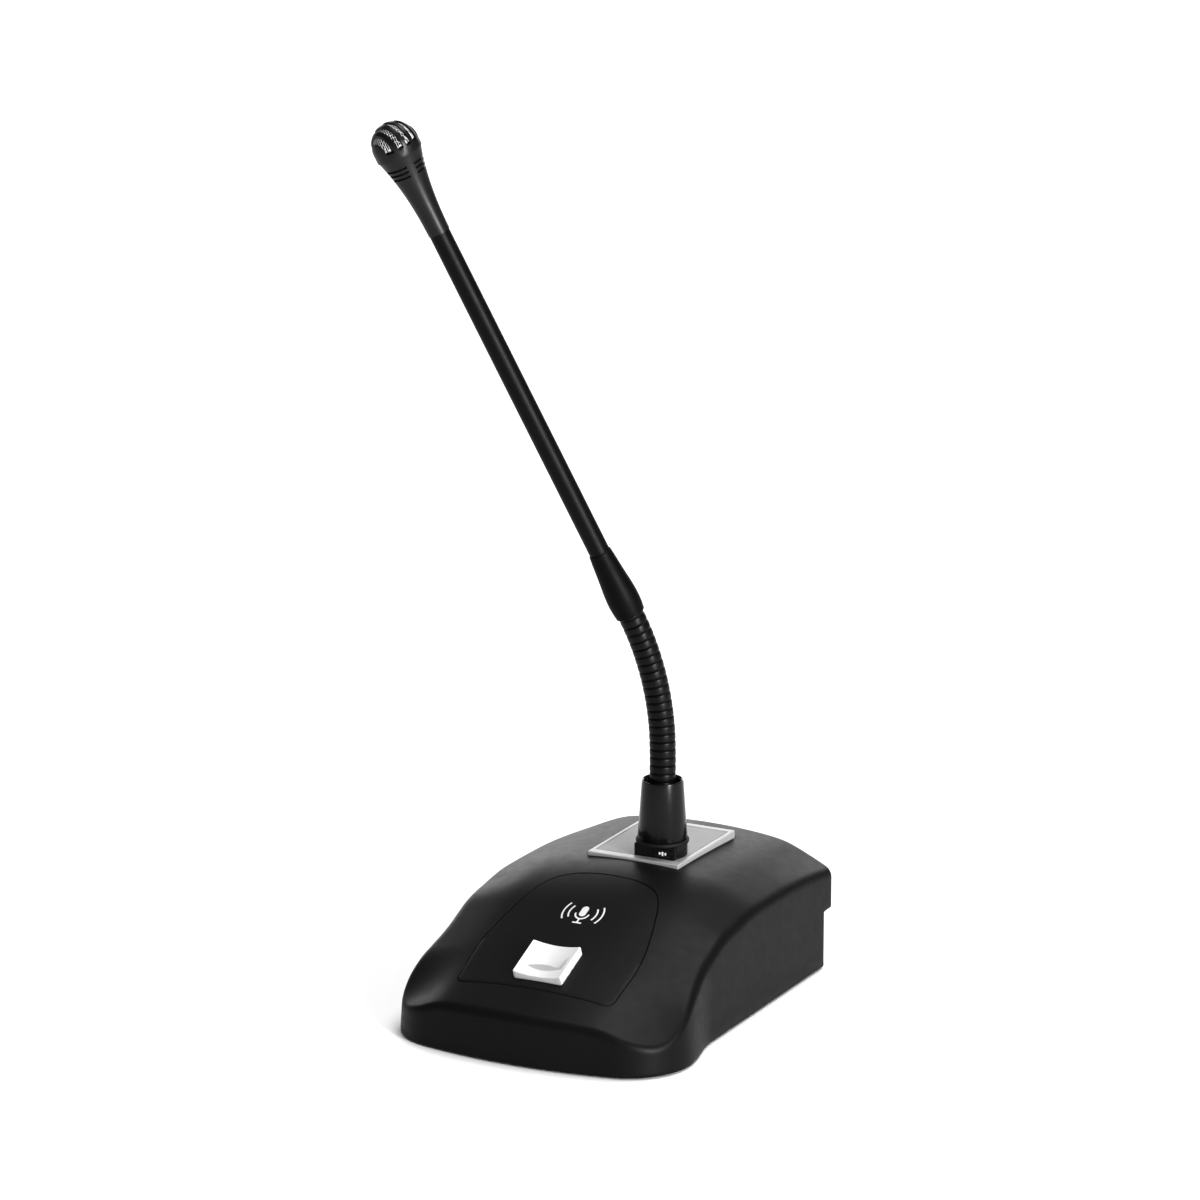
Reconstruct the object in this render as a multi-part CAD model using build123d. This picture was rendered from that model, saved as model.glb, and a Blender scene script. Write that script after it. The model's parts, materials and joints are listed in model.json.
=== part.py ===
from build123d import *
import os
from math import atan, cos, degrees, radians, sin, sqrt, tan

# A desk microphone: a low wedge-shaped base with a talk button, and a gooseneck microphone that
# stands in a three-pin locking socket. Millimetres, +Z up, front towards -Y. The origin is on the
# desk, on the base's centre plane, under the middle of the light top plate.

# ---- base outline on the desk ----
LIP_HALF_WIDTH = 63.5
FRONT_Y = -132.0
FRONT_RADIUS = 201.0
LIP_CORNER_RADIUS = 27.0
BODY_HALF_WIDTH = 58.6
NECK_LENGTH = 29.0
REAR_Y = 34.0
OVERHANG_Y = 42.5
OVERHANG_Z = 24.5
REAR_CORNER_RADIUS = 2.5
OVERHANG_CORNER_RADIUS = 4.5
DRAFT_SLOPE = 0.06
COVER_BOTTOM_Z = 0.6
WALL = 3.0

# ---- top surface ----
BROW_START_Y = -67.0
BROW_START_Z = 47.3
FRONT_SLOPE = 0.42
CREST_Y = -27.0
CREST_FALL_RADIUS = 950.0
CROWN = 0.0018
SHOULDER_X = 37.0
SHOULDER_SOFTNESS = 5.0
SHOULDER_SLOPE = 0.12
LIP_EXTRA_SLOPE = 0.28
BROW_EXTRA_SLOPE = 0.09
REAR_EXTRA_SLOPE = 0.09
SURFACE_X = 76.0
SURFACE_Y = (-142.0, 50.0)
SURFACE_STEP = 4.0
MAX_HEIGHT = 66.0

# ---- bottom ----
PLATE_Z = 2.2
PLATE_THICKNESS = 1.6
PLATE_TOP = PLATE_Z + PLATE_THICKNESS
FOOT_RADIUS = 6.5
FOOT_PLACES = [(-28, -116), (28, -116), (-44, 20), (44, 20)]
BOSS_PLACES = [(-44, -108), (44, -108), (-46, 4), (46, 4)]
BOSS_RADIUS = 3.6
SCREW_RADIUS = 1.25
SCREW_CLEARANCE = 1.5
SCREW_HEAD_RADIUS = 2.6
SCREW_HEAD_HEIGHT = 1.5
BALLAST_HALF_WIDTH = 44.0
BALLAST_Y = (-84.0, -36.0)
BALLAST_TOP = 12.0
BALLAST_SCREWS = [(-30, -60), (30, -60)]

# ---- boards ----
STANDOFFS = [(-34, -24), (34, -24), (-34, 4), (34, 4)]
STANDOFF_RADIUS = 2.8
BOARD_HALF_WIDTH = 38.0
BOARD_Y = (-28.0, 8.0)
BOARD_Z = 12.0
BOARD_THICKNESS = 1.6
BOARD_TOP = BOARD_Z + BOARD_THICKNESS
HEADER_HEIGHT = 5.0
HEADER_PLACES = [(-4, -24), (20, -24), (24, 2)]
LEAD_RADIUS = 0.8

# ---- control panel ----
PANEL_THICKNESS = 1.5
PANEL_RECESS = 1.6
PANEL_GAP = 0.25
PANEL_FRONT_Y = -114.5
PANEL_REAR_Y = -44.2
PANEL_HALF_WIDTH = 35.0
PANEL_CORNER_RADIUS = 4.0
PANEL_FLANK = [(0.7, -95.0), (-4.3, -68.0), (-13.6, -49.5)]

# ---- talk button, in its own tilted plane ----
BUTTON_Y = -101.0
BUTTON_WIDTH = 21.4
BUTTON_LENGTH = 19.6
BUTTON_PROUD = 3.4
BUTTON_SKIRT = 4.2
BUTTON_TRAVEL = 1.2
BUTTON_GAP = 0.4
BUTTON_DISH_DEPTH = 1.2
LENS_RADIUS = 42.0
LENS_SIZE = (8.0, 13.0)
LENS_LIFT = 7.2
STEM_RADIUS = 3.0
STEM_END = -12.0
GUIDE_FLOOR = -9.0
SWITCH_BOARD_TOP = -20.0
SWITCH_BOARD_SIZE = (30.0, 24.0)
SWITCH_POSTS = [(-12, -9), (12, -9), (-12, 9), (12, 9)]
SWITCH_BODY_TOP = -15.0
SPRING_WIRE = 0.35

# ---- light top plate and its frame ----
FRAME_HALF_WIDTH = 20.7
FRAME_Y = (-27.0, 25.8)
FRAME_TOP = 56.2
FRAME_THICKNESS = 3.8
FRAME_LEDGE = 0.35
INNER_HALF_WIDTH = 18.8
INNER_Y = (-22.3, 22.2)
INNER_THICKNESS = 1.7
PLATE_FACE = FRAME_TOP - 0.1
PLATE_GAP = 0.15

# ---- socket and plug ----
SOCKET_X = 7.6
SOCKET_Y = -14.8
SOCKET_RADIUS = 10.2
SOCKET_FRONT_Y = -22.3
SOCKET_HALF_WIDTH = 9.0
SOCKET_TOP = 61.2
BARREL_RADIUS = 7.0
SOCKET_BOTTOM = 40.0
INSERT_BASE = SOCKET_BOTTOM + 4
CONTACT_TOP = SOCKET_BOTTOM + 11
CUP_RADIUS = 5.5
NOSE_RADIUS = 5.4
LATCH_X = 11.6
LATCH_Z = 58.5
LATCH_WIDTH = 8.4
LATCH_HEIGHT = 3.4
LATCH_TRAVEL = 0.8
LATCH_POCKET = 1.6
RING_RADIUS = 10.9
RING_HEIGHT = 1.6
SHELL_BOTTOM = SOCKET_TOP + RING_HEIGHT
SHELL_FLOOR = 4.0
SHELL_BOTTOM_RADIUS = 10.2
SHELL_TOP_RADIUS = 8.5
SHELL_TOP = 87.6
SHELL_MOUTH_RADIUS = 7.4
PIN_CIRCLE = 2.9
PIN_RADIUS = 0.75
CONTACT_RADIUS = 1.15
CONTACT_TAIL = SOCKET_BOTTOM - 4

# ---- gooseneck ----
NECK_RADIUS = 5.35
LEAN_AZIMUTH = 58.0
LEAN_ANGLE = 25.65
KNEE_Z = 130.15
BEND_RADIUS = 136.0
FIRST_PIVOT_Z = 89.0
LINK_COUNT = 7
BALL_RADIUS = 3.9
CUP_CLEARANCE = 0.05
SHOULDER_OFFSET = 1.9
RIM_OFFSET = 0.43
WIRE_BORE = 1.6
RIB_PITCH = 3.1
RIB_DEPTH = 0.3
SPIGOT_RADIUS = NECK_RADIUS - 0.5

# ---- stem, sleeve and microphone head, measured along the leaning axis from the last pivot ----
SLEEVE_START = 2.2
SLEEVE_END = 31.4
SLEEVE_MOUTH_RADIUS = 5.7
SLEEVE_RADIUS = 6.6
SLEEVE_SWELL = 8.0
TUBE_START = 16.0
TUBE_RADIUS = 4.25
TUBE_BORE = 3.2
HEAD_START = 175.6
TUBE_END = HEAD_START + 6.0
HEAD_FLARE = [(0.0, 4.5), (9.0, 4.8), (17.0, 5.5), (28.5, 7.45), (35.5, 9.3)]
HEAD_BORE = [(28.0, 6.1), (17.0, 4.0), (9.0, 2.4)]
HEAD_RADIUS = 9.6
HEAD_WALL = 1.3
GRILLE_SEAM = HEAD_START + 35.5
DOME_CENTRE = HEAD_START + 39.4
GRILLE_WALL = 0.8
MESH_THICKNESS = 0.35
MESH_CLEARANCE = 0.05
SLOT_COUNT = 5
SLOT_PITCH = 3.7
SLOT_WIDTH = 2.1
SLOT_TURN = -56.0
SLOT_FLOOR = DOME_CENTRE - 0.6
VENT_START = HEAD_START + 26.9
VENT_PITCH = 2.0
VENT_HEIGHT = 0.85
VENT_BRIDGE = 3.2
VENT_BRIDGE_ANGLE = 15.0
CLOTH_LINE = [(25.6, 5.55), (28.0, 6.0), (32.0, 7.0)]
CLOTH_THICKNESS = 0.5
CAPSULE_TOP = DOME_CENTRE + 0.6
CAPSULE_RADIUS = 4.9
FILTER_RADIUS = HEAD_RADIUS - GRILLE_WALL - 0.5

# ---- output connector ----
OUTPUT_Z = 13.4
OUTPUT_OUTER = 9.5
OUTPUT_INNER = 8.1
OUTPUT_DEPTH = 19.0
OUTPUT_PIN_CIRCLE = 4.7
OUTPUT_PIN_RADIUS = 1.2
OUTPUT_SCREWS = [(-11.5, 20.0), (11.5, 6.8)]
FLANGE_RADIUS = 10.6
FLANGE_THICKNESS = 1.2
PANEL_DEPTH = 2.4

os.makedirs("parts", exist_ok=True)


def save(name, shape):
    """Writes one sub-part to its own file."""
    export_step(shape, f"parts/{name}.step")


def smooth_step(t):
    t = min(max(t, 0.0), 1.0)
    return t * t * (3 - 2 * t)


# ---- surface of the base -------------------------------------------------------------------

def ridge_height(y):
    """Height of the top on the centre plane: a straight front slope, a round brow, a flat crest."""
    slope_angle = atan(FRONT_SLOPE)
    radius = (CREST_Y - BROW_START_Y) / sin(slope_angle)
    if y <= BROW_START_Y:
        return BROW_START_Z + FRONT_SLOPE * (y - BROW_START_Y)
    brow_rise = radius * (1 - cos(slope_angle))
    if y <= CREST_Y:
        return BROW_START_Z + brow_rise - (radius - sqrt(radius**2 - (CREST_Y - y) ** 2))
    return BROW_START_Z + brow_rise - (y - CREST_Y) ** 2 / (2 * CREST_FALL_RADIUS)


def shoulder_slope(y):
    """Extra sideways fall outside the shoulder: steeper at the lip corners and at the rear."""
    lip = LIP_EXTRA_SLOPE * smooth_step((-92 - y) / 27)
    brow = BROW_EXTRA_SLOPE * smooth_step((y + 65) / 20)
    rear = REAR_EXTRA_SLOPE * (max(0.0, y) / 38) ** 1.5
    return SHOULDER_SLOPE + lip + brow + rear


def top_height(x, y):
    """Height of the base's top surface."""
    past = abs(x) - SHOULDER_X
    past = (past + sqrt(past**2 + SHOULDER_SOFTNESS**2)) / 2
    return ridge_height(y) - CROWN * x * x - shoulder_slope(y) * past


def surface(offset):
    """The top surface, moved up by offset, as one smooth face larger than the base."""
    columns = int(2 * SURFACE_X / SURFACE_STEP)
    rows = int((SURFACE_Y[1] - SURFACE_Y[0]) / SURFACE_STEP)
    xs = [-SURFACE_X + SURFACE_STEP * i for i in range(columns + 1)]
    ys = [SURFACE_Y[0] + SURFACE_STEP * j for j in range(rows + 1)]
    grid = [[(x, y, top_height(x, y) + offset) for x in xs] for y in ys]
    return Face.make_surface_from_array_of_points(grid, tol=0.02)


def above(offset):
    """Everything above the top surface moved by offset."""
    return Solid.extrude(surface(offset), Vector(0, 0, 2 * MAX_HEIGHT))


def below(offset):
    """Everything below the top surface moved by offset."""
    return Solid.extrude(surface(offset), Vector(0, 0, -2 * MAX_HEIGHT))


def footprint(inset, rear_y, draft=0.0, rear_radius=REAR_CORNER_RADIUS):
    """The base's outline in plan, moved inwards by inset, and at the lip by draft as well."""
    centre_y = FRONT_Y + FRONT_RADIUS
    corner_x = LIP_HALF_WIDTH - LIP_CORNER_RADIUS
    reach = FRONT_RADIUS - LIP_CORNER_RADIUS
    corner_y = centre_y - sqrt(reach**2 - corner_x**2)
    start_angle = -90 + degrees(atan(corner_x / (centre_y - corner_y)))
    radius = LIP_CORNER_RADIUS - inset - draft
    corner = CenterArc((corner_x, corner_y), radius, start_angle, -start_angle)
    lip_end = corner @ 1
    neck_end = Vector(BODY_HALF_WIDTH - inset, corner_y + NECK_LENGTH)
    neck = Spline([lip_end, neck_end], tangents=[(0, 1), (0, 1)])
    rear_corner = Vector(BODY_HALF_WIDTH - inset, rear_y)
    side = Line(neck_end, rear_corner - Vector(0, rear_radius))
    round_end = rear_corner - Vector(rear_radius, 0)
    rounding = RadiusArc(side @ 1, round_end, -rear_radius)
    right = corner + neck + side + rounding
    start = corner @ 0
    front = ThreePointArc((-start.X, start.Y), (0, FRONT_Y + inset + draft), (start.X, start.Y))
    rear = Line(round_end, Vector(-round_end.X, round_end.Y))
    return make_face(front + right + mirror(right, about=Plane.YZ) + rear)


def block(inset, rear_y, low, high, rear_radius=REAR_CORNER_RADIUS):
    """A solid on the footprint, between two heights, with a drafted lip and upright sides."""
    lower = Pos(0, 0, low) * footprint(inset, rear_y, DRAFT_SLOPE * low, rear_radius)
    upper = Pos(0, 0, high) * footprint(inset, rear_y, DRAFT_SLOPE * high, rear_radius)
    return loft([lower, upper], ruled=True)


# ---- cover, bottom plate, feet ---------------------------------------------------------------

def outer_body():
    """The whole base as one solid, with its rear step under the overhang."""
    lower = block(0, REAR_Y, COVER_BOTTOM_Z, MAX_HEIGHT)
    upper = block(0, OVERHANG_Y, OVERHANG_Z, MAX_HEIGHT, OVERHANG_CORNER_RADIUS)
    return lower + upper - above(0)


def cavity():
    """The hollow inside the cover, open at the bottom and at the rear below the overhang."""
    main = block(WALL, REAR_Y - WALL, -1, MAX_HEIGHT)
    rear_window = block(WALL, REAR_Y + 1, -1, OVERHANG_Z)
    attic = block(WALL, OVERHANG_Y - WALL, OVERHANG_Z + WALL, MAX_HEIGHT)
    return main + rear_window + attic - above(-WALL)


def panel_outline(gap):
    """The shield-shaped panel in plan, made larger all round by gap."""
    half = PANEL_HALF_WIDTH + gap
    front_y = PANEL_FRONT_Y - gap
    radius = PANEL_CORNER_RADIUS + gap
    corner_end = Vector(half, front_y + radius)
    front = Line((-half + radius, front_y), (half - radius, front_y))
    corner = RadiusArc(front @ 1, corner_end, -radius)
    flank = [(half + out, y) for out, y in PANEL_FLANK]
    crest = (0, PANEL_REAR_Y + gap)
    side = Spline([corner_end, *flank, crest], tangents=[(0, 1), (-1, 0)])
    right = corner + side
    return make_face(front + right + mirror(right, about=Plane.YZ))


def panel_prism(gap):
    return extrude(panel_outline(gap), MAX_HEIGHT)


def button_plane():
    """The panel's tangent plane at the button: x to the right, y up the slope, z outwards."""
    slope_angle = atan(FRONT_SLOPE)
    normal = (0, -sin(slope_angle), cos(slope_angle))
    return Plane(origin=(0, BUTTON_Y, top_height(0, BUTTON_Y)), x_dir=(1, 0, 0), z_dir=normal)


def tilted_box(width, length, low, high):
    """A box centred on the button's axis, between two heights above the panel."""
    return button_plane() * Pos(0, 0, (low + high) / 2) * Box(width, length, high - low)


def tilted_cylinder(radius, low, high, x=0.0, y=0.0):
    return button_plane() * Pos(x, y, (low + high) / 2) * Cylinder(radius, high - low)


def centred_box(half_width, y_range, low, high):
    """A box that is symmetric about the centre plane."""
    y_low, y_high = y_range
    place = Pos(0, (y_low + y_high) / 2, (low + high) / 2)
    return place * Box(2 * half_width, y_high - y_low, high - low)


def upright(radius, x, y, low, high):
    return Pos(x, y, (low + high) / 2) * Cylinder(radius, high - low)


def button_opening():
    gap = 2 * BUTTON_GAP
    return tilted_box(BUTTON_WIDTH + gap, BUTTON_LENGTH + gap, -3 * WALL, BUTTON_PROUD + 4)


def top_cover():
    """Moulded shell with screw bosses and openings for the panel, the button and the top plate."""
    shell = outer_body() - cavity()
    posts = Sketch() + [Pos(x, y, PLATE_TOP) * Circle(BOSS_RADIUS) for x, y in BOSS_PLACES]
    shell += extrude(posts, MAX_HEIGHT - PLATE_TOP) - above(-WALL / 2)
    for x, y in BOSS_PLACES:
        shell -= upright(SCREW_RADIUS, x, y, PLATE_TOP - 1, PLATE_TOP + 12)
    shell -= panel_prism(PANEL_GAP) - below(-PANEL_RECESS)
    shell -= button_opening()
    frame_y = (FRAME_Y[0] - 2 * PLATE_GAP, FRAME_Y[1] + 2 * PLATE_GAP)
    shell -= centred_box(FRAME_HALF_WIDTH + 2 * PLATE_GAP, frame_y, 50, MAX_HEIGHT)
    return shell


def control_panel():
    """Thin shield-shaped inlay that lies in the cover's recess."""
    return panel_prism(0) - above(0) - below(-PANEL_THICKNESS) - button_opening()


def bottom_plate():
    """Steel base plate inside the cover's lower edge."""
    gap = 0.3
    outline = footprint(WALL + gap, REAR_Y - WALL - gap, DRAFT_SLOPE * PLATE_TOP)
    plate = Pos(0, 0, PLATE_Z) * extrude(outline, PLATE_THICKNESS)
    for x, y in BOSS_PLACES + BALLAST_SCREWS + STANDOFFS:
        plate -= upright(SCREW_CLEARANCE, x, y, PLATE_Z - 1, PLATE_TOP + 1)
    return plate


def rubber_feet():
    return [upright(FOOT_RADIUS, x, y, 0, PLATE_Z) for x, y in FOOT_PLACES]


def screw_up(x, y, low, length):
    """A pan-head screw that points upwards, with a cross recess in its head."""
    head_low = low - SCREW_HEAD_HEIGHT
    head = upright(SCREW_HEAD_RADIUS, x, y, head_low, low)
    head -= Pos(x, y, head_low) * (Box(2.8, 0.6, 1.4) + Box(0.6, 2.8, 1.4))
    return head + upright(SCREW_RADIUS, x, y, low, low + length)


def cover_screws():
    return [screw_up(x, y, PLATE_Z, 11) for x, y in BOSS_PLACES]


def ballast_weight():
    """Cast iron block that keeps the tall microphone from tipping the base."""
    weight = centred_box(BALLAST_HALF_WIDTH, BALLAST_Y, PLATE_TOP, BALLAST_TOP)
    weight = fillet(weight.edges().filter_by(Axis.Z), 4)
    for x, y in BALLAST_SCREWS:
        weight -= upright(SCREW_RADIUS, x, y, PLATE_TOP - 1, BALLAST_TOP - 1)
    return weight


def ballast_screws():
    return [screw_up(x, y, PLATE_Z, 7) for x, y in BALLAST_SCREWS]


# ---- electronics -----------------------------------------------------------------------------

def standoffs():
    """Four threaded pillars under the main board."""
    return [
        upright(STANDOFF_RADIUS, x, y, PLATE_TOP, BOARD_Z)
        - upright(SCREW_RADIUS, x, y, PLATE_Z, BOARD_TOP)
        for x, y in STANDOFFS
    ]


def standoff_screws():
    return [screw_up(x, y, PLATE_Z, 4) for x, y in STANDOFFS]


def main_circuit_board():
    board = centred_box(BOARD_HALF_WIDTH, BOARD_Y, BOARD_Z, BOARD_TOP)
    for x, y in STANDOFFS:
        board -= upright(SCREW_RADIUS + 0.1, x, y, BOARD_Z - 1, BOARD_TOP + 1)
    return board


def board_screws():
    """Screws from above into the pillars."""
    turned = Rot(180, 0, 0)
    return [Pos(x, y, BOARD_TOP) * turned * screw_up(0, 0, 0, 3.5) for x, y in STANDOFFS]


def board_components():
    """Output transformer, capacitors, amplifier chips and wire headers on the main board."""
    def on_board(x, y, width, length, height):
        return Pos(x, y, BOARD_TOP + height / 2) * Box(width, length, height)

    transformer = on_board(-20, -8, 18, 16, 14)
    chips = [on_board(2 + 12 * i, -12, 6, 5, 1.6) for i in range(2)]
    headers = [on_board(x, y, 9, 4, HEADER_HEIGHT) for x, y in HEADER_PLACES]
    cans = [upright(3.1, 4 + 8 * i, -4, BOARD_TOP, BOARD_TOP + 9) for i in range(3)]
    return [transformer] + chips + headers + cans


# ---- talk button -----------------------------------------------------------------------------

def talk_button():
    """Square cap, hollow below, with a trough across its face and a finger dish in the middle."""
    cap = tilted_box(BUTTON_WIDTH, BUTTON_LENGTH, -BUTTON_SKIRT, BUTTON_PROUD)
    cap = fillet(cap.edges().filter_by(Axis(origin=(0, 0, 0), direction=button_plane().z_dir)), 0.8)
    cap -= tilted_box(BUTTON_WIDTH - 3, BUTTON_LENGTH - 3, -BUTTON_SKIRT - 1, 0.6)
    half = BUTTON_WIDTH / 2
    radius = (half**2 + BUTTON_DISH_DEPTH**2) / (2 * BUTTON_DISH_DEPTH)
    trough = Rot(90, 0, 0) * Cylinder(radius, 2 * BUTTON_LENGTH)
    cap -= button_plane() * Pos(0, 0, BUTTON_PROUD - BUTTON_DISH_DEPTH + radius) * trough
    across, width = LENS_SIZE
    lens = Rot(0, 90, 0) * Cylinder(across, width) & Rot(90, 0, 0) * Cylinder(LENS_RADIUS, BUTTON_LENGTH)
    return cap - button_plane() * Pos(0, 0, BUTTON_PROUD - BUTTON_DISH_DEPTH + LENS_LIFT) * lens


def button_stem():
    """Plunger pressed into the cap, with a retaining collar below the guide."""
    stem = tilted_cylinder(STEM_RADIUS, STEM_END, 0.6)
    return stem + tilted_cylinder(STEM_RADIUS + 1.2, STEM_END, GUIDE_FLOOR - 1.2)


def return_spring():
    """Coil spring round the stem, between the guide floor and the cap."""
    low = GUIDE_FLOOR + 2 + SPRING_WIRE
    high = 0.5 - SPRING_WIRE
    path = Helix(pitch=1.9, height=high - low, radius=STEM_RADIUS + 1.0)
    section = Plane(origin=path @ 0, z_dir=path % 0) * Circle(SPRING_WIRE)
    return button_plane() * Pos(0, 0, low) * sweep(section, path=path, is_frenet=True)


def button_guide():
    """Frame under the cover that guides the stem and carries the switch board on four posts."""
    outer = tilted_box(BUTTON_WIDTH + 7, BUTTON_LENGTH + 6, GUIDE_FLOOR, -WALL - 0.2)
    inner = tilted_box(BUTTON_WIDTH + 3, BUTTON_LENGTH + 3, GUIDE_FLOOR + 2, 0)
    guide = outer - inner - tilted_cylinder(STEM_RADIUS + 0.08, GUIDE_FLOOR - 1, 0)
    for x, y in SWITCH_POSTS:
        guide += tilted_cylinder(1.8, SWITCH_BOARD_TOP, GUIDE_FLOOR, x, y)
    return guide


def switch_board():
    width, length = SWITCH_BOARD_SIZE
    board = tilted_box(width, length, SWITCH_BOARD_TOP - BOARD_THICKNESS, SWITCH_BOARD_TOP)
    for x, y in SWITCH_POSTS:
        low, high = SWITCH_BOARD_TOP - 3, SWITCH_BOARD_TOP + 1
        board -= tilted_cylinder(0.9, low, high, x, y)
    return board


def switch_board_screws():
    """Small screws from below into the guide's posts."""
    low = SWITCH_BOARD_TOP - BOARD_THICKNESS
    return [tilted_cylinder(1.6, low - 1, low, x, y) for x, y in SWITCH_POSTS]


def push_switch():
    """Tactile switch: a square body with a short round plunger."""
    body = tilted_box(9, 9, SWITCH_BOARD_TOP, SWITCH_BODY_TOP)
    gap = 0.1
    return body + tilted_cylinder(1.6, SWITCH_BODY_TOP, STEM_END - BUTTON_TRAVEL - gap)


# ---- top plate and socket --------------------------------------------------------------------

def plate_frame():
    """Light frame that stands a little proud of the cover round the top plate."""
    frame = centred_box(FRAME_HALF_WIDTH, FRAME_Y, FRAME_TOP - FRAME_THICKNESS, FRAME_TOP)
    seat_y = (INNER_Y[0] - PLATE_GAP, INNER_Y[1] + PLATE_GAP)
    seat_low = FRAME_TOP - INNER_THICKNESS
    seat = centred_box(INNER_HALF_WIDTH + PLATE_GAP, seat_y, seat_low, MAX_HEIGHT)
    window_y = (INNER_Y[0] + FRAME_LEDGE, INNER_Y[1] - FRAME_LEDGE)
    return frame - seat - centred_box(INNER_HALF_WIDTH - FRAME_LEDGE, window_y, 0, MAX_HEIGHT)


def top_plate():
    plate = centred_box(INNER_HALF_WIDTH, INNER_Y, FRAME_TOP - INNER_THICKNESS, PLATE_FACE)
    return plate - upright(BARREL_RADIUS + 0.1, SOCKET_X, SOCKET_Y, SOCKET_BOTTOM, SOCKET_TOP)


def latch_slot(gap, y_low, y_high):
    """The latch tab's oval, lying along X, between two depths."""
    oval = SlotOverall(LATCH_WIDTH + 2 * gap, LATCH_HEIGHT + 2 * gap)
    face = Plane(origin=(LATCH_X, y_high, LATCH_Z), x_dir=(1, 0, 0), z_dir=(0, -1, 0)) * oval
    return extrude(face, y_high - y_low)


def socket_housing():
    """Round socket with a flat front apron, and a barrel that passes down through the plate."""
    collar = upright(SOCKET_RADIUS, SOCKET_X, SOCKET_Y, PLATE_FACE, SOCKET_TOP)
    apron_length = SOCKET_Y - SOCKET_FRONT_Y
    middle = (PLATE_FACE + SOCKET_TOP) / 2
    height = SOCKET_TOP - PLATE_FACE
    apron_place = Pos(SOCKET_X, SOCKET_FRONT_Y + apron_length / 2, middle)
    collar += apron_place * Box(2 * SOCKET_HALF_WIDTH, apron_length, height)
    cut_depth = SOCKET_RADIUS
    cut_place = Pos(SOCKET_X, SOCKET_FRONT_Y - cut_depth / 2, middle)
    collar -= cut_place * Box(3 * SOCKET_RADIUS, cut_depth, 2 * height)
    housing = collar + upright(BARREL_RADIUS, SOCKET_X, SOCKET_Y, SOCKET_BOTTOM, PLATE_FACE)
    housing -= upright(CUP_RADIUS, SOCKET_X, SOCKET_Y, INSERT_BASE, SOCKET_TOP + 1)
    housing -= latch_slot(0.2, SOCKET_FRONT_Y - 1, SOCKET_FRONT_Y + LATCH_POCKET)
    return housing - socket_pins(CONTACT_RADIUS + 0.1, SOCKET_BOTTOM - 1, INSERT_BASE + 1)


def socket_pins(radius, low, high):
    """Three round pins or holes on the connector's pin circle."""
    pins = Sketch()
    for i in range(3):
        angle = radians(90 + 120 * i)
        x, y = SOCKET_X + PIN_CIRCLE * cos(angle), SOCKET_Y + PIN_CIRCLE * sin(angle)
        pins += Pos(x, y, low) * Circle(radius)
    return extrude(pins, high - low)


def socket_insert():
    """Insulator in the bottom of the cup, with three contact holes."""
    body = upright(CUP_RADIUS - 0.9, SOCKET_X, SOCKET_Y, INSERT_BASE, CONTACT_TOP)
    return body - socket_pins(CONTACT_RADIUS + 0.1, INSERT_BASE - 1, CONTACT_TOP + 1)


def socket_contacts():
    """Three tubular contacts with solder tails below the socket."""
    tubes = socket_pins(CONTACT_RADIUS, CONTACT_TAIL, CONTACT_TOP - 1)
    return tubes - socket_pins(PIN_RADIUS + 0.05, SOCKET_BOTTOM + 2, CONTACT_TOP)


def socket_nut():
    """Ring nut that clamps the socket from below."""
    high = FRAME_TOP - FRAME_THICKNESS
    height = 3.0
    hexagon = RegularPolygon(9.0, 6, major_radius=False)
    nut = Pos(SOCKET_X, SOCKET_Y, high - height) * extrude(hexagon, height)
    return nut - upright(BARREL_RADIUS, SOCKET_X, SOCKET_Y, SOCKET_BOTTOM, SOCKET_TOP)


def latch_tab():
    """Oval release tab in the socket's front face."""
    return latch_slot(0, SOCKET_FRONT_Y - 0.4, SOCKET_FRONT_Y + LATCH_POCKET - LATCH_TRAVEL - 0.2)


# ---- plug ------------------------------------------------------------------------------------

def plug_ring():
    """Rubber ring between the socket and the plug shell."""
    ring = upright(RING_RADIUS, SOCKET_X, SOCKET_Y, SOCKET_TOP, SOCKET_TOP + RING_HEIGHT)
    ring = fillet(ring.edges().filter_by(GeomType.CIRCLE), 0.6)
    return ring - upright(NOSE_RADIUS, SOCKET_X, SOCKET_Y, SOCKET_TOP - 1, SOCKET_TOP + 4)


def plug_shell():
    """Glossy tapered shell with an open mouth round the gooseneck."""
    height = SHELL_TOP - SHELL_BOTTOM
    place = Pos(SOCKET_X, SOCKET_Y, (SHELL_BOTTOM + SHELL_TOP) / 2)
    cone = place * Cone(SHELL_BOTTOM_RADIUS, SHELL_TOP_RADIUS, height)
    cone = fillet(cone.edges().filter_by(GeomType.CIRCLE), 0.5)
    cone -= upright(SHELL_MOUTH_RADIUS, SOCKET_X, SOCKET_Y, SHELL_BOTTOM + SHELL_FLOOR, SHELL_TOP + 1)
    return cone - upright(NOSE_RADIUS, SOCKET_X, SOCKET_Y, SHELL_BOTTOM - 1, SHELL_TOP)


def plug_nose():
    """Metal tube of the plug that sits in the socket's cup."""
    top = SHELL_BOTTOM + SHELL_FLOOR
    nose = upright(NOSE_RADIUS, SOCKET_X, SOCKET_Y, INSERT_BASE + 0.3, top)
    return nose - upright(NOSE_RADIUS - 0.7, SOCKET_X, SOCKET_Y, SOCKET_BOTTOM, top + 1)


def plug_insert():
    disc = upright(NOSE_RADIUS - 0.7, SOCKET_X, SOCKET_Y, CONTACT_TOP + 1, CONTACT_TOP + 6)
    return disc - socket_pins(PIN_RADIUS, CONTACT_TOP, CONTACT_TOP + 7)


def plug_pins():
    """Three pins of the plug, down into the socket's contacts."""
    return socket_pins(PIN_RADIUS, SOCKET_BOTTOM + 3, CONTACT_TOP + 9)


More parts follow.
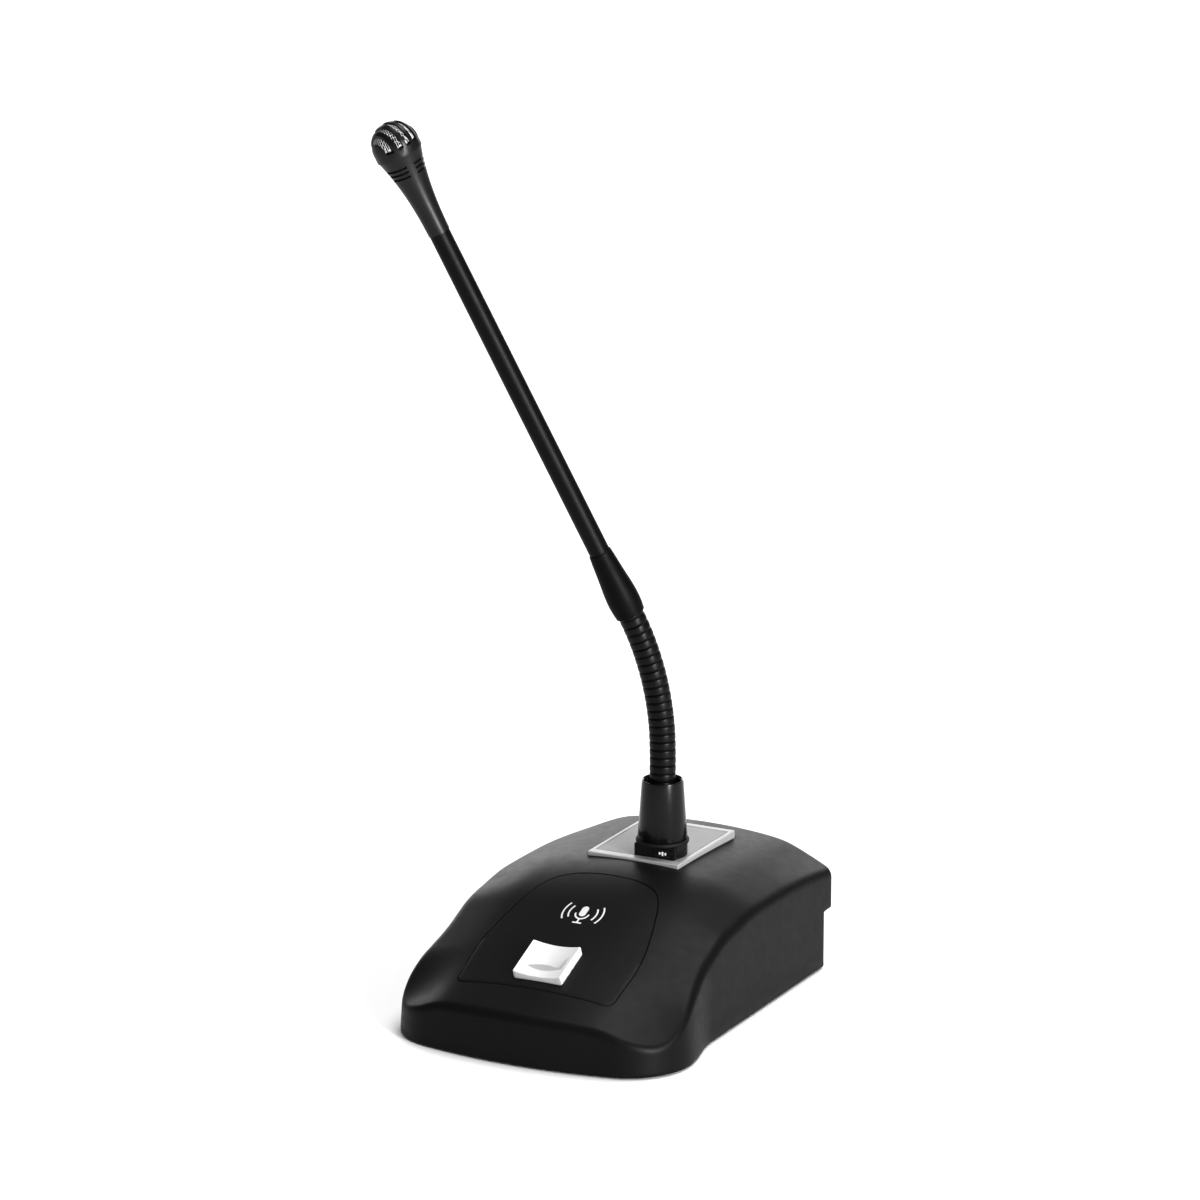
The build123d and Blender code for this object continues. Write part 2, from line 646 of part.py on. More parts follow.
def neck_bushing():
    """Clamp bush that holds the gooseneck's foot in the shell."""
    low, high = SHELL_BOTTOM + SHELL_FLOOR, SHELL_TOP - 3
    bush = upright(SHELL_MOUTH_RADIUS, SOCKET_X, SOCKET_Y, low, high)
    return bush - upright(NECK_RADIUS, SOCKET_X, SOCKET_Y, low - 1, high + 1)


# ---- gooseneck -------------------------------------------------------------------------------

LEAN_X = -sin(radians(LEAN_AZIMUTH))
LEAN_Y = -cos(radians(LEAN_AZIMUTH))
ARC_TANGENT = BEND_RADIUS * tan(radians(LEAN_ANGLE) / 2)
ARC_START_Z = KNEE_Z - ARC_TANGENT
ARC_LENGTH = BEND_RADIUS * radians(LEAN_ANGLE)
STRAIGHT = ARC_START_Z - FIRST_PIVOT_Z
LINK_SPACING = (STRAIGHT + ARC_LENGTH) / LINK_COUNT


def neck_point(length):
    """The point of the neck's centre line at a length above the first pivot."""
    turn = max(0.0, length - STRAIGHT) / BEND_RADIUS
    out = BEND_RADIUS * (1 - cos(turn))
    z = FIRST_PIVOT_Z + min(length, STRAIGHT) + BEND_RADIUS * sin(turn)
    return Vector(SOCKET_X + out * LEAN_X, SOCKET_Y + out * LEAN_Y, z)


PIVOTS = [neck_point(LINK_SPACING * i) for i in range(LINK_COUNT + 1)]
STEM_AXIS = Vector(
    LEAN_X * sin(radians(LEAN_ANGLE)), LEAN_Y * sin(radians(LEAN_ANGLE)), cos(radians(LEAN_ANGLE))
)
HINGE_AXIS = Vector(-LEAN_Y, LEAN_X, 0)


def ball(radius, centre_z=0.0):
    return Pos(0, 0, centre_z) * Sphere(radius)


def lower_ball():
    """The ball on a link's pivot, flattened below and cut off at the link's shoulder."""
    low, high = -0.82 * BALL_RADIUS, SHOULDER_OFFSET + 0.1
    return ball(BALL_RADIUS) & centred_box(BALL_RADIUS + 1, (-BALL_RADIUS, BALL_RADIUS), low, high)


def ribbed_tube(low, high):
    """A tube of the neck's radius with shallow grooves between its ribs."""
    tube = Pos(0, 0, (low + high) / 2) * Cylinder(NECK_RADIUS, high - low)
    count = int((high - low) / RIB_PITCH)
    for i in range(1, count + 1):
        tube -= Pos(0, 0, low + i * RIB_PITCH - RIB_PITCH / 2) * Torus(NECK_RADIUS, RIB_DEPTH)
    return tube


def neck_link(length):
    """One link, standing on its lower pivot: a ball below, ribs outside, a cup at the upper pivot."""
    body = ribbed_tube(SHOULDER_OFFSET, length - RIM_OFFSET)
    body += lower_ball()
    body -= ball(BALL_RADIUS + CUP_CLEARANCE, length)
    return body - Cylinder(WIRE_BORE, 3 * length)


def gooseneck_root():
    """The neck's foot, clamped in the plug shell, with the first cup."""
    height = FIRST_PIVOT_Z - RIM_OFFSET - SHELL_BOTTOM - 5
    foot = Pos(SOCKET_X, SOCKET_Y, FIRST_PIVOT_Z - RIM_OFFSET - height) * ribbed_tube(0, height)
    foot -= Pos(*PIVOTS[0]) * ball(BALL_RADIUS + CUP_CLEARANCE)
    return foot - upright(WIRE_BORE, SOCKET_X, SOCKET_Y, SHELL_BOTTOM, SHELL_TOP + 9)


def gooseneck_link(index):
    low, high = PIVOTS[index], PIVOTS[index + 1]
    chord = high - low
    place = Plane(origin=low, x_dir=HINGE_AXIS, z_dir=chord.normalized())
    return place * neck_link(chord.length)


# ---- stem and microphone head ----------------------------------------------------------------

def stem_plane():
    """Origin on the last pivot, z along the leaning stem."""
    return Plane(origin=PIVOTS[-1], x_dir=HINGE_AXIS, z_dir=STEM_AXIS)


def gooseneck_top():
    """The neck's upper end: a ball on the last pivot and a spigot inside the sleeve."""
    spigot = Pos(0, 0, (SHOULDER_OFFSET + TUBE_START) / 2)
    body = spigot * Cylinder(SPIGOT_RADIUS, TUBE_START - SHOULDER_OFFSET) + lower_ball()
    return stem_plane() * (body - Cylinder(WIRE_BORE, 4 * TUBE_START))


def joint_sleeve():
    """Barrel-shaped sleeve over the joint between the neck and the tube."""
    low, high = SLEEVE_START, SLEEVE_END
    outer = Spline([
        (SLEEVE_MOUTH_RADIUS, 0, low), (SLEEVE_RADIUS, 0, low + SLEEVE_SWELL),
        (TUBE_RADIUS + 0.25, 0, high),
    ])
    inner = Polyline(
        outer @ 1, (TUBE_RADIUS, 0, high), (TUBE_RADIUS, 0, TUBE_START),
        (SPIGOT_RADIUS, 0, TUBE_START), (SPIGOT_RADIUS, 0, low), outer @ 0,
    )
    return stem_plane() * revolve(make_face(outer + inner), Axis.Z)


def stem_tube():
    tube = Cylinder(TUBE_RADIUS, TUBE_END - TUBE_START) - Cylinder(TUBE_BORE, 2 * TUBE_END)
    return stem_plane() * Pos(0, 0, (TUBE_START + TUBE_END) / 2) * tube


def head_profile():
    """Outer line of the flared housing, from the tube up to the grille's seam."""
    points = [(r, 0, HEAD_START + z) for z, r in HEAD_FLARE]
    return Spline(points)


def vent_rows():
    """Three rows of slots round the housing, broken by solid bridges."""
    rows = []
    for i in range(3):
        ring = Cylinder(HEAD_RADIUS + 2, VENT_HEIGHT) - Cylinder(4.2, VENT_HEIGHT)
        for j in range(3):
            angle = VENT_BRIDGE_ANGLE + 120 * j
            ring -= Rot(0, 0, angle) * Pos(HEAD_RADIUS, 0, 0) * Box(2 * HEAD_RADIUS, VENT_BRIDGE, 2)
        rows.append(Pos(0, 0, VENT_START + VENT_PITCH * i) * ring)
    return rows


def capsule_housing():
    """Flared housing that slips over the tube's end, open towards the grille."""
    outer = head_profile()
    wall_top = HEAD_FLARE[-1][1] - HEAD_WALL
    inner = Polyline(
        outer @ 1, (wall_top, 0, GRILLE_SEAM), *[(r, 0, HEAD_START + z) for z, r in HEAD_BORE],
        (HEAD_BORE[-1][1], 0, TUBE_END), (TUBE_RADIUS, 0, TUBE_END),
        (TUBE_RADIUS, 0, HEAD_START), outer @ 0,
    )
    housing = revolve(make_face(outer + inner), Axis.Z)
    for row in vent_rows():
        housing -= row
    return stem_plane() * housing


def vent_cloth():
    """Thin black felt cone that lines the housing behind the vents."""
    outer = [(r, 0, HEAD_START + z) for z, r in CLOTH_LINE]
    inner = [(r - CLOTH_THICKNESS, 0, HEAD_START + z) for z, r in reversed(CLOTH_LINE)]
    return stem_plane() * revolve(make_face(Polyline(outer + inner, close=True)), Axis.Z)


def dome(radius):
    """A round-topped plug from the grille's seam to the dome's top."""
    straight = DOME_CENTRE - GRILLE_SEAM
    body = Pos(0, 0, GRILLE_SEAM + straight / 2) * Cylinder(radius, straight)
    cap = Pos(0, 0, DOME_CENTRE) * Sphere(radius)
    return body + (cap & Pos(0, 0, DOME_CENTRE + radius) * Box(3 * radius, 3 * radius, 2 * radius))


def grille_cap():
    """Domed cap with parallel slots across its top."""
    cap = dome(HEAD_RADIUS) - dome(HEAD_RADIUS - GRILLE_WALL)
    slot = Box(SLOT_WIDTH, 3 * HEAD_RADIUS, 2 * HEAD_RADIUS)
    for i in range(SLOT_COUNT):
        offset = SLOT_PITCH * (i - (SLOT_COUNT - 1) / 2)
        cap -= Rot(0, 0, SLOT_TURN) * Pos(offset, 0, SLOT_FLOOR + HEAD_RADIUS) * slot
    return stem_plane() * cap


def grille_mesh():
    """Thin wire mesh dome behind the slots."""
    outer = HEAD_RADIUS - GRILLE_WALL - MESH_CLEARANCE
    return stem_plane() * (dome(outer) - dome(outer - MESH_THICKNESS))


def foam_disc():
    """Foam pop filter under the mesh."""
    room = Pos(0, 0, CAPSULE_TOP + 0.2 - 30) * Box(30, 30, 60)
    return stem_plane() * (dome(FILTER_RADIUS) - room)


def capsule():
    """Electret cartridge with a front hole and two solder pads."""
    can = Pos(0, 0, CAPSULE_TOP - 3) * Cylinder(CAPSULE_RADIUS, 6)
    can -= Pos(0, 0, CAPSULE_TOP) * Cylinder(1.2, 1.0)
    return stem_plane() * can


def capsule_mount():
    """Rubber ring that holds the cartridge away from the housing."""
    ring = Pos(0, 0, CAPSULE_TOP - 2.6) * Cylinder(FILTER_RADIUS, 3.2)
    return stem_plane() * (ring - Pos(0, 0, CAPSULE_TOP) * Cylinder(CAPSULE_RADIUS, 20))


def capsule_board():
    """Small round amplifier board below the cartridge."""
    return stem_plane() * Pos(0, 0, CAPSULE_TOP - 7.4) * Cylinder(4.6, 1.0)


def stem_cable():
    """Screened lead inside the tube, from the neck's top to the capsule board."""
    low, high = SLEEVE_START, CAPSULE_TOP - 7.9
    lead = Pos(0, 0, (low + high) / 2) * Cylinder(1.2, high - low)
    return stem_plane() * lead


# ---- rear panel and output connector ---------------------------------------------------------

def rearward(radius, y_low, y_high, x=0.0, z=OUTPUT_Z):
    """A round bar along Y."""
    return Pos(x, (y_low + y_high) / 2, z) * Rot(90, 0, 0) * Cylinder(radius, y_high - y_low)


def rear_panel():
    """Upright panel under the overhang, held between the cover and the bottom plate."""
    gap = 0.6
    half = BODY_HALF_WIDTH - WALL - gap
    panel = centred_box(half, (REAR_Y - PANEL_DEPTH, REAR_Y), COVER_BOTTOM_Z, OVERHANG_Z - 0.3)
    panel -= rearward(OUTPUT_OUTER + 0.1, REAR_Y - 9, REAR_Y + 1)
    for x, z in OUTPUT_SCREWS:
        panel -= rearward(SCREW_RADIUS, REAR_Y - 9, REAR_Y + 1, x, z)
    return panel


def output_shell():
    """Round metal cup of the three-pin output, with a thin flange on the panel's face."""
    shell = rearward(OUTPUT_OUTER, REAR_Y - OUTPUT_DEPTH, REAR_Y + FLANGE_THICKNESS)
    shell += rearward(FLANGE_RADIUS, REAR_Y, REAR_Y + FLANGE_THICKNESS)
    ear_y = REAR_Y + FLANGE_THICKNESS / 2
    for x, z in OUTPUT_SCREWS:
        shell += Pos(x * 0.85, ear_y, z) * Box(8, FLANGE_THICKNESS, 6)
        shell -= rearward(SCREW_RADIUS + 0.2, REAR_Y - 1, REAR_Y + 5, x, z)
    return shell - rearward(OUTPUT_INNER, REAR_Y - OUTPUT_DEPTH - 1, REAR_Y + 5)


def output_insert():
    insert = rearward(OUTPUT_INNER, REAR_Y - OUTPUT_DEPTH, REAR_Y - OUTPUT_DEPTH + 4)
    return insert - output_pins()


def output_pins():
    """Three round pins that run through the insert."""
    bars = []
    for i in range(3):
        angle = radians(-90 + 120 * i)
        x, z = OUTPUT_PIN_CIRCLE * cos(angle), OUTPUT_Z + OUTPUT_PIN_CIRCLE * sin(angle)
        bars.append(rearward(OUTPUT_PIN_RADIUS, REAR_Y - OUTPUT_DEPTH - 3, REAR_Y - 3.5, x, z))
    return bars


def output_screws():
    """Two short screws through the flange's ears."""
    turned = Rot(90, 0, 0)
    outer_y = REAR_Y + FLANGE_THICKNESS
    return [Pos(x, outer_y, z) * turned * screw_up(0, 0, 0, PANEL_DEPTH) for x, z in OUTPUT_SCREWS]


# ---- internal wiring -------------------------------------------------------------------------

def lead(points, bends):
    """A round lead along straight runs joined by arcs."""
    path = FilletPolyline(*points, radius=bends)
    section = Plane(origin=path @ 0, z_dir=path % 0) * Circle(LEAD_RADIUS)
    return sweep(section, path=path)


def internal_wiring():
    """Leads from the main board's headers to the switch board, the socket and the output."""
    header_top = BOARD_TOP + HEADER_HEIGHT
    starts = [(x, y, header_top) for x, y in HEADER_PLACES]
    switch_end = button_plane() * Pos(0, 10, SWITCH_BOARD_TOP + LEAD_RADIUS)
    switch_end = switch_end.position
    to_switch = [
        starts[0], (-4, -24, 27), (-4, -77, 27), (-4, switch_end.Y, switch_end.Z),
    ]
    to_socket = [
        starts[1], (20, -24, 28), (SOCKET_X, SOCKET_Y, 28), (SOCKET_X, SOCKET_Y, CONTACT_TAIL),
    ]
    pin_x = OUTPUT_PIN_CIRCLE * cos(radians(30))
    pin_z = OUTPUT_Z + OUTPUT_PIN_CIRCLE * sin(radians(30))
    to_output = [
        starts[2], (24, 2, 25), (pin_x, 5.5, 25), (pin_x, 5.5, pin_z),
        (pin_x, REAR_Y - OUTPUT_DEPTH - 3, pin_z),
    ]
    return [lead(to_switch, 3.0), lead(to_socket, 3.0), lead(to_output, 2.0)]


# ---- write every sub-part --------------------------------------------------------------------

SINGLE_PARTS = [
    top_cover, control_panel, bottom_plate, ballast_weight, main_circuit_board, talk_button,
    button_stem, return_spring, button_guide, switch_board, push_switch, plate_frame, top_plate,
    socket_housing, socket_insert, socket_nut, latch_tab, plug_ring, plug_shell, plug_nose,
    plug_insert, neck_bushing, gooseneck_root, gooseneck_top, joint_sleeve, stem_tube,
    capsule_housing, vent_cloth, grille_cap, grille_mesh, foam_disc, capsule, capsule_mount, capsule_board,
    stem_cable, rear_panel, output_shell, output_insert,
]
GROUPED_PARTS = [
    rubber_feet, cover_screws, ballast_screws, standoffs, standoff_screws, board_screws,
    board_components, switch_board_screws, socket_contacts, plug_pins, output_pins,
    output_screws, internal_wiring,
]

for make in SINGLE_PARTS:
    save(make.__name__, make())
for make in GROUPED_PARTS:
    solids = [solid for piece in make() for solid in piece.solids()]
    save(make.__name__, Compound(children=solids))
for number in range(LINK_COUNT):
    save(f"gooseneck_link_{number + 1:02d}", gooseneck_link(number))
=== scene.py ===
import json
import bmesh
import bpy
import numpy as np
from math import acos, atan, ceil, cos, hypot, pi, radians, sin, sqrt, tan
from mathutils import Matrix, Vector
from mathutils.geometry import delaunay_2d_cdt


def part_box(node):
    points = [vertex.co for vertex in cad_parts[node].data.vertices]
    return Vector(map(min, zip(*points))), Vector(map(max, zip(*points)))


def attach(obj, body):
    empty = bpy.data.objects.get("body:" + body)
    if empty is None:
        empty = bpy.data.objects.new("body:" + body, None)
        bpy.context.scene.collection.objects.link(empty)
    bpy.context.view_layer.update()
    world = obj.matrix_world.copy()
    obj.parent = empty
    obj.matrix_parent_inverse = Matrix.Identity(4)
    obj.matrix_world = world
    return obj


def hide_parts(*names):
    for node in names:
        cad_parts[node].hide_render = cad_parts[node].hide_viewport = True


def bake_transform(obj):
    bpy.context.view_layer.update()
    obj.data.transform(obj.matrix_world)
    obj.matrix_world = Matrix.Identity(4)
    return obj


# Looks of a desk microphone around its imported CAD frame. Shapes are worked out in millimetres,
# as the CAD is, and every mesh is written in metres by add_piece.
MM = 0.001

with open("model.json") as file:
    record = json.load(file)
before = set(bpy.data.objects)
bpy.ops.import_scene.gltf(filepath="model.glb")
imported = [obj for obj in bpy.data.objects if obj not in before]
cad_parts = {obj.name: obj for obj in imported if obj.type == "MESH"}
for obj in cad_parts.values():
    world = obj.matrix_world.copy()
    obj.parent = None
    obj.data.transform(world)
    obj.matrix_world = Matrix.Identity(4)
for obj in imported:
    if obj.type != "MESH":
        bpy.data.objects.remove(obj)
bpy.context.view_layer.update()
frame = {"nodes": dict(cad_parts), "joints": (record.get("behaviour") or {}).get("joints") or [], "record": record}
record = frame["record"]
joints = {joint["name"]: joint for joint in frame["joints"]}


def corner_mm(node, which):
    """The lowest (0) or highest (1) corner of a CAD node's box, in millimetres."""
    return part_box(node)[which] / MM


# ---- base, repeated from the CAD ----
LIP_HALF_WIDTH = corner_mm("top_cover", 1).x
FRONT_Y = corner_mm("top_cover", 0).y
OVERHANG_Y = corner_mm("top_cover", 1).y
REAR_Y = corner_mm("rear_panel", 1).y
COVER_BOTTOM_Z = corner_mm("top_cover", 0).z
FRONT_RADIUS = 201.0
LIP_CORNER_RADIUS = 27.0
BODY_HALF_WIDTH = 58.6
NECK_LENGTH = 29.0
OVERHANG_Z = 24.5
REAR_CORNER_RADIUS = 2.5
OVERHANG_CORNER_RADIUS = 4.5
DRAFT_SLOPE = 0.06
BROW_START_Y = -67.0
BROW_START_Z = 47.3
FRONT_SLOPE = 0.42
CREST_Y = -27.0
CREST_FALL_RADIUS = 950.0
CROWN = 0.0018
SHOULDER_X = 37.0
SHOULDER_SOFTNESS = 5.0
SHOULDER_SLOPE = 0.12
LIP_EXTRA_SLOPE = 0.28
BROW_EXTRA_SLOPE = 0.09
REAR_EXTRA_SLOPE = 0.09

# ---- cover and panel as moulded ----
COVER_SKIN = 2.2
SHARP_SKIN_ANGLE = 30.0
GRID_STEP = 1.7
WINDOW_HALF_WIDTH = corner_mm("rear_panel", 1).x + 0.5
PANEL_HALF_WIDTH = 35.0
PANEL_FRONT_Y = -114.5
PANEL_REAR_Y = -44.2
PANEL_CORNER_RADIUS = 4.0
PANEL_SKIN = 1.35
PANEL_SINK = 0.06
LIP_ROUNDING = 4.6
SIDE_ROUNDING = 5.4
CORNER_ROUNDING = 5.6
REAR_ROUNDING = 3.4
EDGE_STEPS = 8
BOTTOM_ROUNDING = 0.8
SEAM = 0.2
CHAMFER = 0.25

# ---- talk button, in its own tilted plane ----
BUTTON_Y = -101.0
BUTTON_HALF_WIDTH = 10.7
BUTTON_HALF_LENGTH = 9.8
BUTTON_PROUD = 3.4
BUTTON_SKIRT = 4.2
BUTTON_GAP = 0.4
TROUGH_DEPTH = 1.5
BUTTON_BEVEL = 0.4
BEVEL_STEPS = 4
CORNER_SHARE = 0.7071
BUTTON_SIDE = 1.6
BUTTON_SKIN = 1.1
SHARP_BUTTON_ANGLE = 24.0
DISH_HALF_WIDTH = 8.6
DISH_TIP_Y = -4.1
DISH_BULGE = 1.7
DISH_CREASE_RISE = 2.7
DISH_REAR_Y = 3.6
DISH_SLOPE = 0.17

# ---- gooseneck, stem and head ----
NECK_RADIUS = 5.35
NECK_BORE = 4.1
NECK_SEGMENTS = 56
RIBS_PER_LINK = 3
STEPS_PER_RIB = 12
RIB_DEPTH = 0.26
RIB_CROWN = 0.09
SPIGOT_START = 2.2
SLEEVE_START = -0.6
SLEEVE_END = 28.4
SLEEVE_MOUTH = 5.5
SLEEVE_LINE = [(6.12, 0.9), (6.6, 6.6), (5.75, 17.5)]
TUBE_RADIUS = 4.25
TUBE_START = 16.0
SPIGOT_RADIUS = NECK_RADIUS - 0.5
HEAD_START = 175.6
HEAD_RADIUS = 9.6
GRILLE_WALL = 0.8
DOME_CENTRE = HEAD_START + 39.4
MESH_PITCH = 0.8
MESH_WIRE = 0.13
MESH_LIFT = 0.9 * MESH_WIRE
MESH_GAP = 0.3


# ---- small geometry helpers ------------------------------------------------------------------

def smooth_step(t):
    t = np.clip(t, 0.0, 1.0)
    return t * t * (3 - 2 * t)


def ridge_height(y):
    """Height of the top on the centre plane: a straight front slope, a round brow, a flat crest."""
    angle = atan(FRONT_SLOPE)
    radius = (CREST_Y - BROW_START_Y) / sin(angle)
    if y <= BROW_START_Y:
        return BROW_START_Z + FRONT_SLOPE * (y - BROW_START_Y)
    rise = radius * (1 - cos(angle))
    if y <= CREST_Y:
        return BROW_START_Z + rise - (radius - sqrt(radius**2 - (CREST_Y - y) ** 2))
    return BROW_START_Z + rise - (y - CREST_Y) ** 2 / (2 * CREST_FALL_RADIUS)


def shoulder_slope(y):
    lip = LIP_EXTRA_SLOPE * smooth_step((-92 - y) / 27)
    brow = BROW_EXTRA_SLOPE * smooth_step((y + 65) / 20)
    rear = REAR_EXTRA_SLOPE * (max(0.0, y) / 38) ** 1.5
    return SHOULDER_SLOPE + lip + brow + rear


def top_height(x, y):
    """Height of the base's top surface."""
    past = abs(x) - SHOULDER_X
    past = (past + sqrt(past**2 + SHOULDER_SOFTNESS**2)) / 2
    return ridge_height(y) - CROWN * x * x - shoulder_slope(y) * past


def top_slope(x, y, direction):
    """Rise of the top surface per millimetre in a plan direction."""
    step = 0.25
    ahead = top_height(x + step * direction[0], y + step * direction[1])
    behind = top_height(x - step * direction[0], y - step * direction[1])
    return (ahead - behind) / (2 * step)


def add_piece(name, points, faces, material, sharp=40.0):
    """A mesh object in metres from points in millimetres, smooth except at sharp angles."""
    mesh = bpy.data.meshes.new(name)
    mesh.from_pydata([tuple(float(c) * MM for c in p) for p in points], [], faces)
    mesh.validate()
    piece = bpy.data.objects.new(name, mesh)
    bpy.context.scene.collection.objects.link(piece)
    finish_mesh(piece, sharp)
    piece.data.materials.append(material)
    return piece


def finish_mesh(piece, sharp):
    """Merges doubled points, turns every face outwards and marks the sharp edges."""
    shape = bmesh.new()
    shape.from_mesh(piece.data)
    bmesh.ops.remove_doubles(shape, verts=shape.verts, dist=1e-6)
    bmesh.ops.recalc_face_normals(shape, faces=shape.faces)
    shape.to_mesh(piece.data)
    shape.free()
    for face in piece.data.polygons:
        face.use_smooth = True
    piece.data.set_sharp_from_angle(angle=radians(sharp))


def bake_modifiers(piece, sharp):
    """Writes a piece's modifiers into its mesh."""
    bpy.context.view_layer.update()
    graph = bpy.context.evaluated_depsgraph_get()
    mesh = bpy.data.meshes.new_from_object(piece.evaluated_get(graph))
    piece.modifiers.clear()
    piece.data = mesh
    finish_mesh(piece, sharp)


def thicken(piece, thickness, sharp=40.0):
    """Gives an outer skin its wall, inwards."""
    wall = piece.modifiers.new("wall", "SOLIDIFY")
    wall.thickness = thickness * MM
    wall.offset = -1.0
    wall.use_even_offset = False
    bake_modifiers(piece, sharp)


def lathe(profile, segments, place):
    """Points and faces of a closed profile of (radius, height) points turned about Z."""
    points, faces = [], []
    count = len(profile)
    for i in range(segments):
        turn = 2 * pi * i / segments
        for radius, height in profile:
            points.append(place @ Vector((radius * cos(turn), radius * sin(turn), height)))
    for i in range(segments):
        a, b = i * count, ((i + 1) % segments) * count
        for j in range(count):
            k = (j + 1) % count
            faces.append((a + j, b + j, b + k, a + k))
    return points, faces


def arc(centre, radius, start, end, steps):
    """Points of an arc in a profile, angles in degrees."""
    angles = [radians(start + (end - start) * i / steps) for i in range(steps + 1)]
    return [(centre[0] + radius * cos(a), centre[1] + radius * sin(a)) for a in angles]


def spline(points, start_slope, end_slope, steps):
    """A smooth curve through points with the given end directions, as a clamped cubic spline."""
    knots = np.array(points, float)
    gaps = np.hypot(*(knots[1:] - knots[:-1]).T)
    count = len(knots)
    system, right = np.eye(count), np.zeros((count, 2))
    right[0], right[-1] = start_slope, end_slope
    for i in range(1, count - 1):
        system[i, i - 1], system[i, i + 1] = gaps[i], gaps[i - 1]
        system[i, i] = 2 * (gaps[i - 1] + gaps[i])
        before = (knots[i] - knots[i - 1]) * gaps[i] / gaps[i - 1]
        after = (knots[i + 1] - knots[i]) * gaps[i - 1] / gaps[i]
        right[i] = 3 * (before + after)
    slopes = np.linalg.solve(system, right)
    curve = []
    for i in range(count - 1):
        for j in range(steps):
            t = j / steps
            curve.append(
                (2 * t**3 - 3 * t**2 + 1) * knots[i] + (t**3 - 2 * t**2 + t) * gaps[i] * slopes[i]
                + (3 * t**2 - 2 * t**3) * knots[i + 1] + (t**3 - t**2) * gaps[i] * slopes[i + 1]
            )
    return curve + [knots[-1]]


def rounded_rectangle(half_x, y_low, y_high, radius, steps=5, spacing=1.5):
    """A counter-clockwise rectangle with round corners and evenly divided sides."""
    loop = []
    corners = [
        ((half_x - radius, y_low + radius), -90), ((half_x - radius, y_high - radius), 0),
        ((-half_x + radius, y_high - radius), 90), ((-half_x + radius, y_low + radius), 180),
    ]
    for centre, start in corners:
        loop += arc(centre, radius, start, start + 90, steps)
    return divided(loop, spacing)


def divided(loop, spacing):
    """A closed loop with its long edges split into short ones."""
    fine = []
    for i, point in enumerate(loop):
        ahead = loop[(i + 1) % len(loop)]
        parts = max(1, ceil(hypot(ahead[0] - point[0], ahead[1] - point[1]) / spacing))
        for j in range(parts):
            t = j / parts
            fine.append((point[0] + t * (ahead[0] - point[0]), point[1] + t * (ahead[1] - point[1])))
    return fine


def offset_loop(loop, distance):
    """A counter-clockwise loop moved outwards by a distance."""
    points = np.array(loop, float)
    along = np.roll(points, -1, axis=0) - np.roll(points, 1, axis=0)
    along /= np.hypot(along[:, 0], along[:, 1])[:, None]
    outward = np.stack([along[:, 1], -along[:, 0]], axis=1)
    return [tuple(p) for p in points + outward * distance]


def inside(loop, x, y):
    """Whether a plan point lies in a loop, for arrays of x and y."""
    points = np.array(loop, float)
    result = np.zeros(np.shape(x), bool)
    for (x1, y1), (x2, y2) in zip(points, np.roll(points, -1, axis=0)):
        crosses = (y1 > y) != (y2 > y)
        with np.errstate(divide="ignore", invalid="ignore"):
            result ^= crosses & (x < (x2 - x1) * (y - y1) / (y2 - y1) + x1)
    return result


def fill_between(outer, holes, height, step=GRID_STEP, margin=0.55):
    """Triangles on a height surface inside an outer loop and outside its holes.

    Returns the points, the faces and, for each loop, the numbers of its points.
    """
    loops = [outer] + holes
    flat, edges, numbers = [], [], []
    for loop in loops:
        first = len(flat)
        flat += [Vector(p) for p in loop]
        ring = list(range(first, first + len(loop)))
        edges += list(zip(ring, ring[1:] + ring[:1]))
        numbers.append(ring)
    border = np.array([tuple(p) for p in flat])
    low, high = border.min(0), border.max(0)
    columns, rows = ceil((high[0] - low[0]) / step), ceil((high[1] - low[1]) / step)
    grid_x, grid_y = np.meshgrid(
        np.linspace(low[0], high[0], columns + 1), np.linspace(low[1], high[1], rows + 1)
    )
    x, y = grid_x.ravel(), grid_y.ravel()
    keep = inside(outer, x, y)
    for hole in holes:
        keep &= ~inside(hole, x, y)
    x, y = x[keep], y[keep]
    nearest = np.min(np.hypot(x[:, None] - border[:, 0], y[:, None] - border[:, 1]), axis=1)
    clear = nearest > margin * step
    flat += [Vector(p) for p in zip(x[clear], y[clear])]
    solved = delaunay_2d_cdt(flat, edges, [], 0, 1e-7)
    plan, triangles, sources = solved[0], solved[2], solved[3]
    centre = np.array([np.mean([plan[i] for i in t], axis=0) for t in triangles])
    wanted = inside(outer, centre[:, 0], centre[:, 1])
    for hole in holes:
        wanted &= ~inside(hole, centre[:, 0], centre[:, 1])
    faces = [tuple(t) for t, good in zip(triangles, wanted) if good]
    new_number = {old: new for new, olds in enumerate(sources) for old in olds}
    points = [(p[0], p[1], height(p[0], p[1])) for p in plan]
    return points, faces, [[new_number[i] for i in ring] for ring in numbers]


# ---- materials -------------------------------------------------------------------------------

def link(tree, source, output, target, socket):
    tree.links.new(source.outputs[output], target.inputs[socket])


def noise(tree, coordinates, size_mm, detail=3.0, stretch=(1, 1, 1)):
    """Noise whose cells are about size_mm across."""
    mapping = tree.nodes.new("ShaderNodeMapping")
    mapping.inputs["Scale"].default_value = stretch
    link(tree, coordinates, "Object", mapping, "Vector")
    texture = tree.nodes.new("ShaderNodeTexNoise")
    texture.inputs["Scale"].default_value = 1 / (size_mm * MM)
    texture.inputs["Detail"].default_value = detail
    link(tree, mapping, "Vector", texture, "Vector")
    return texture


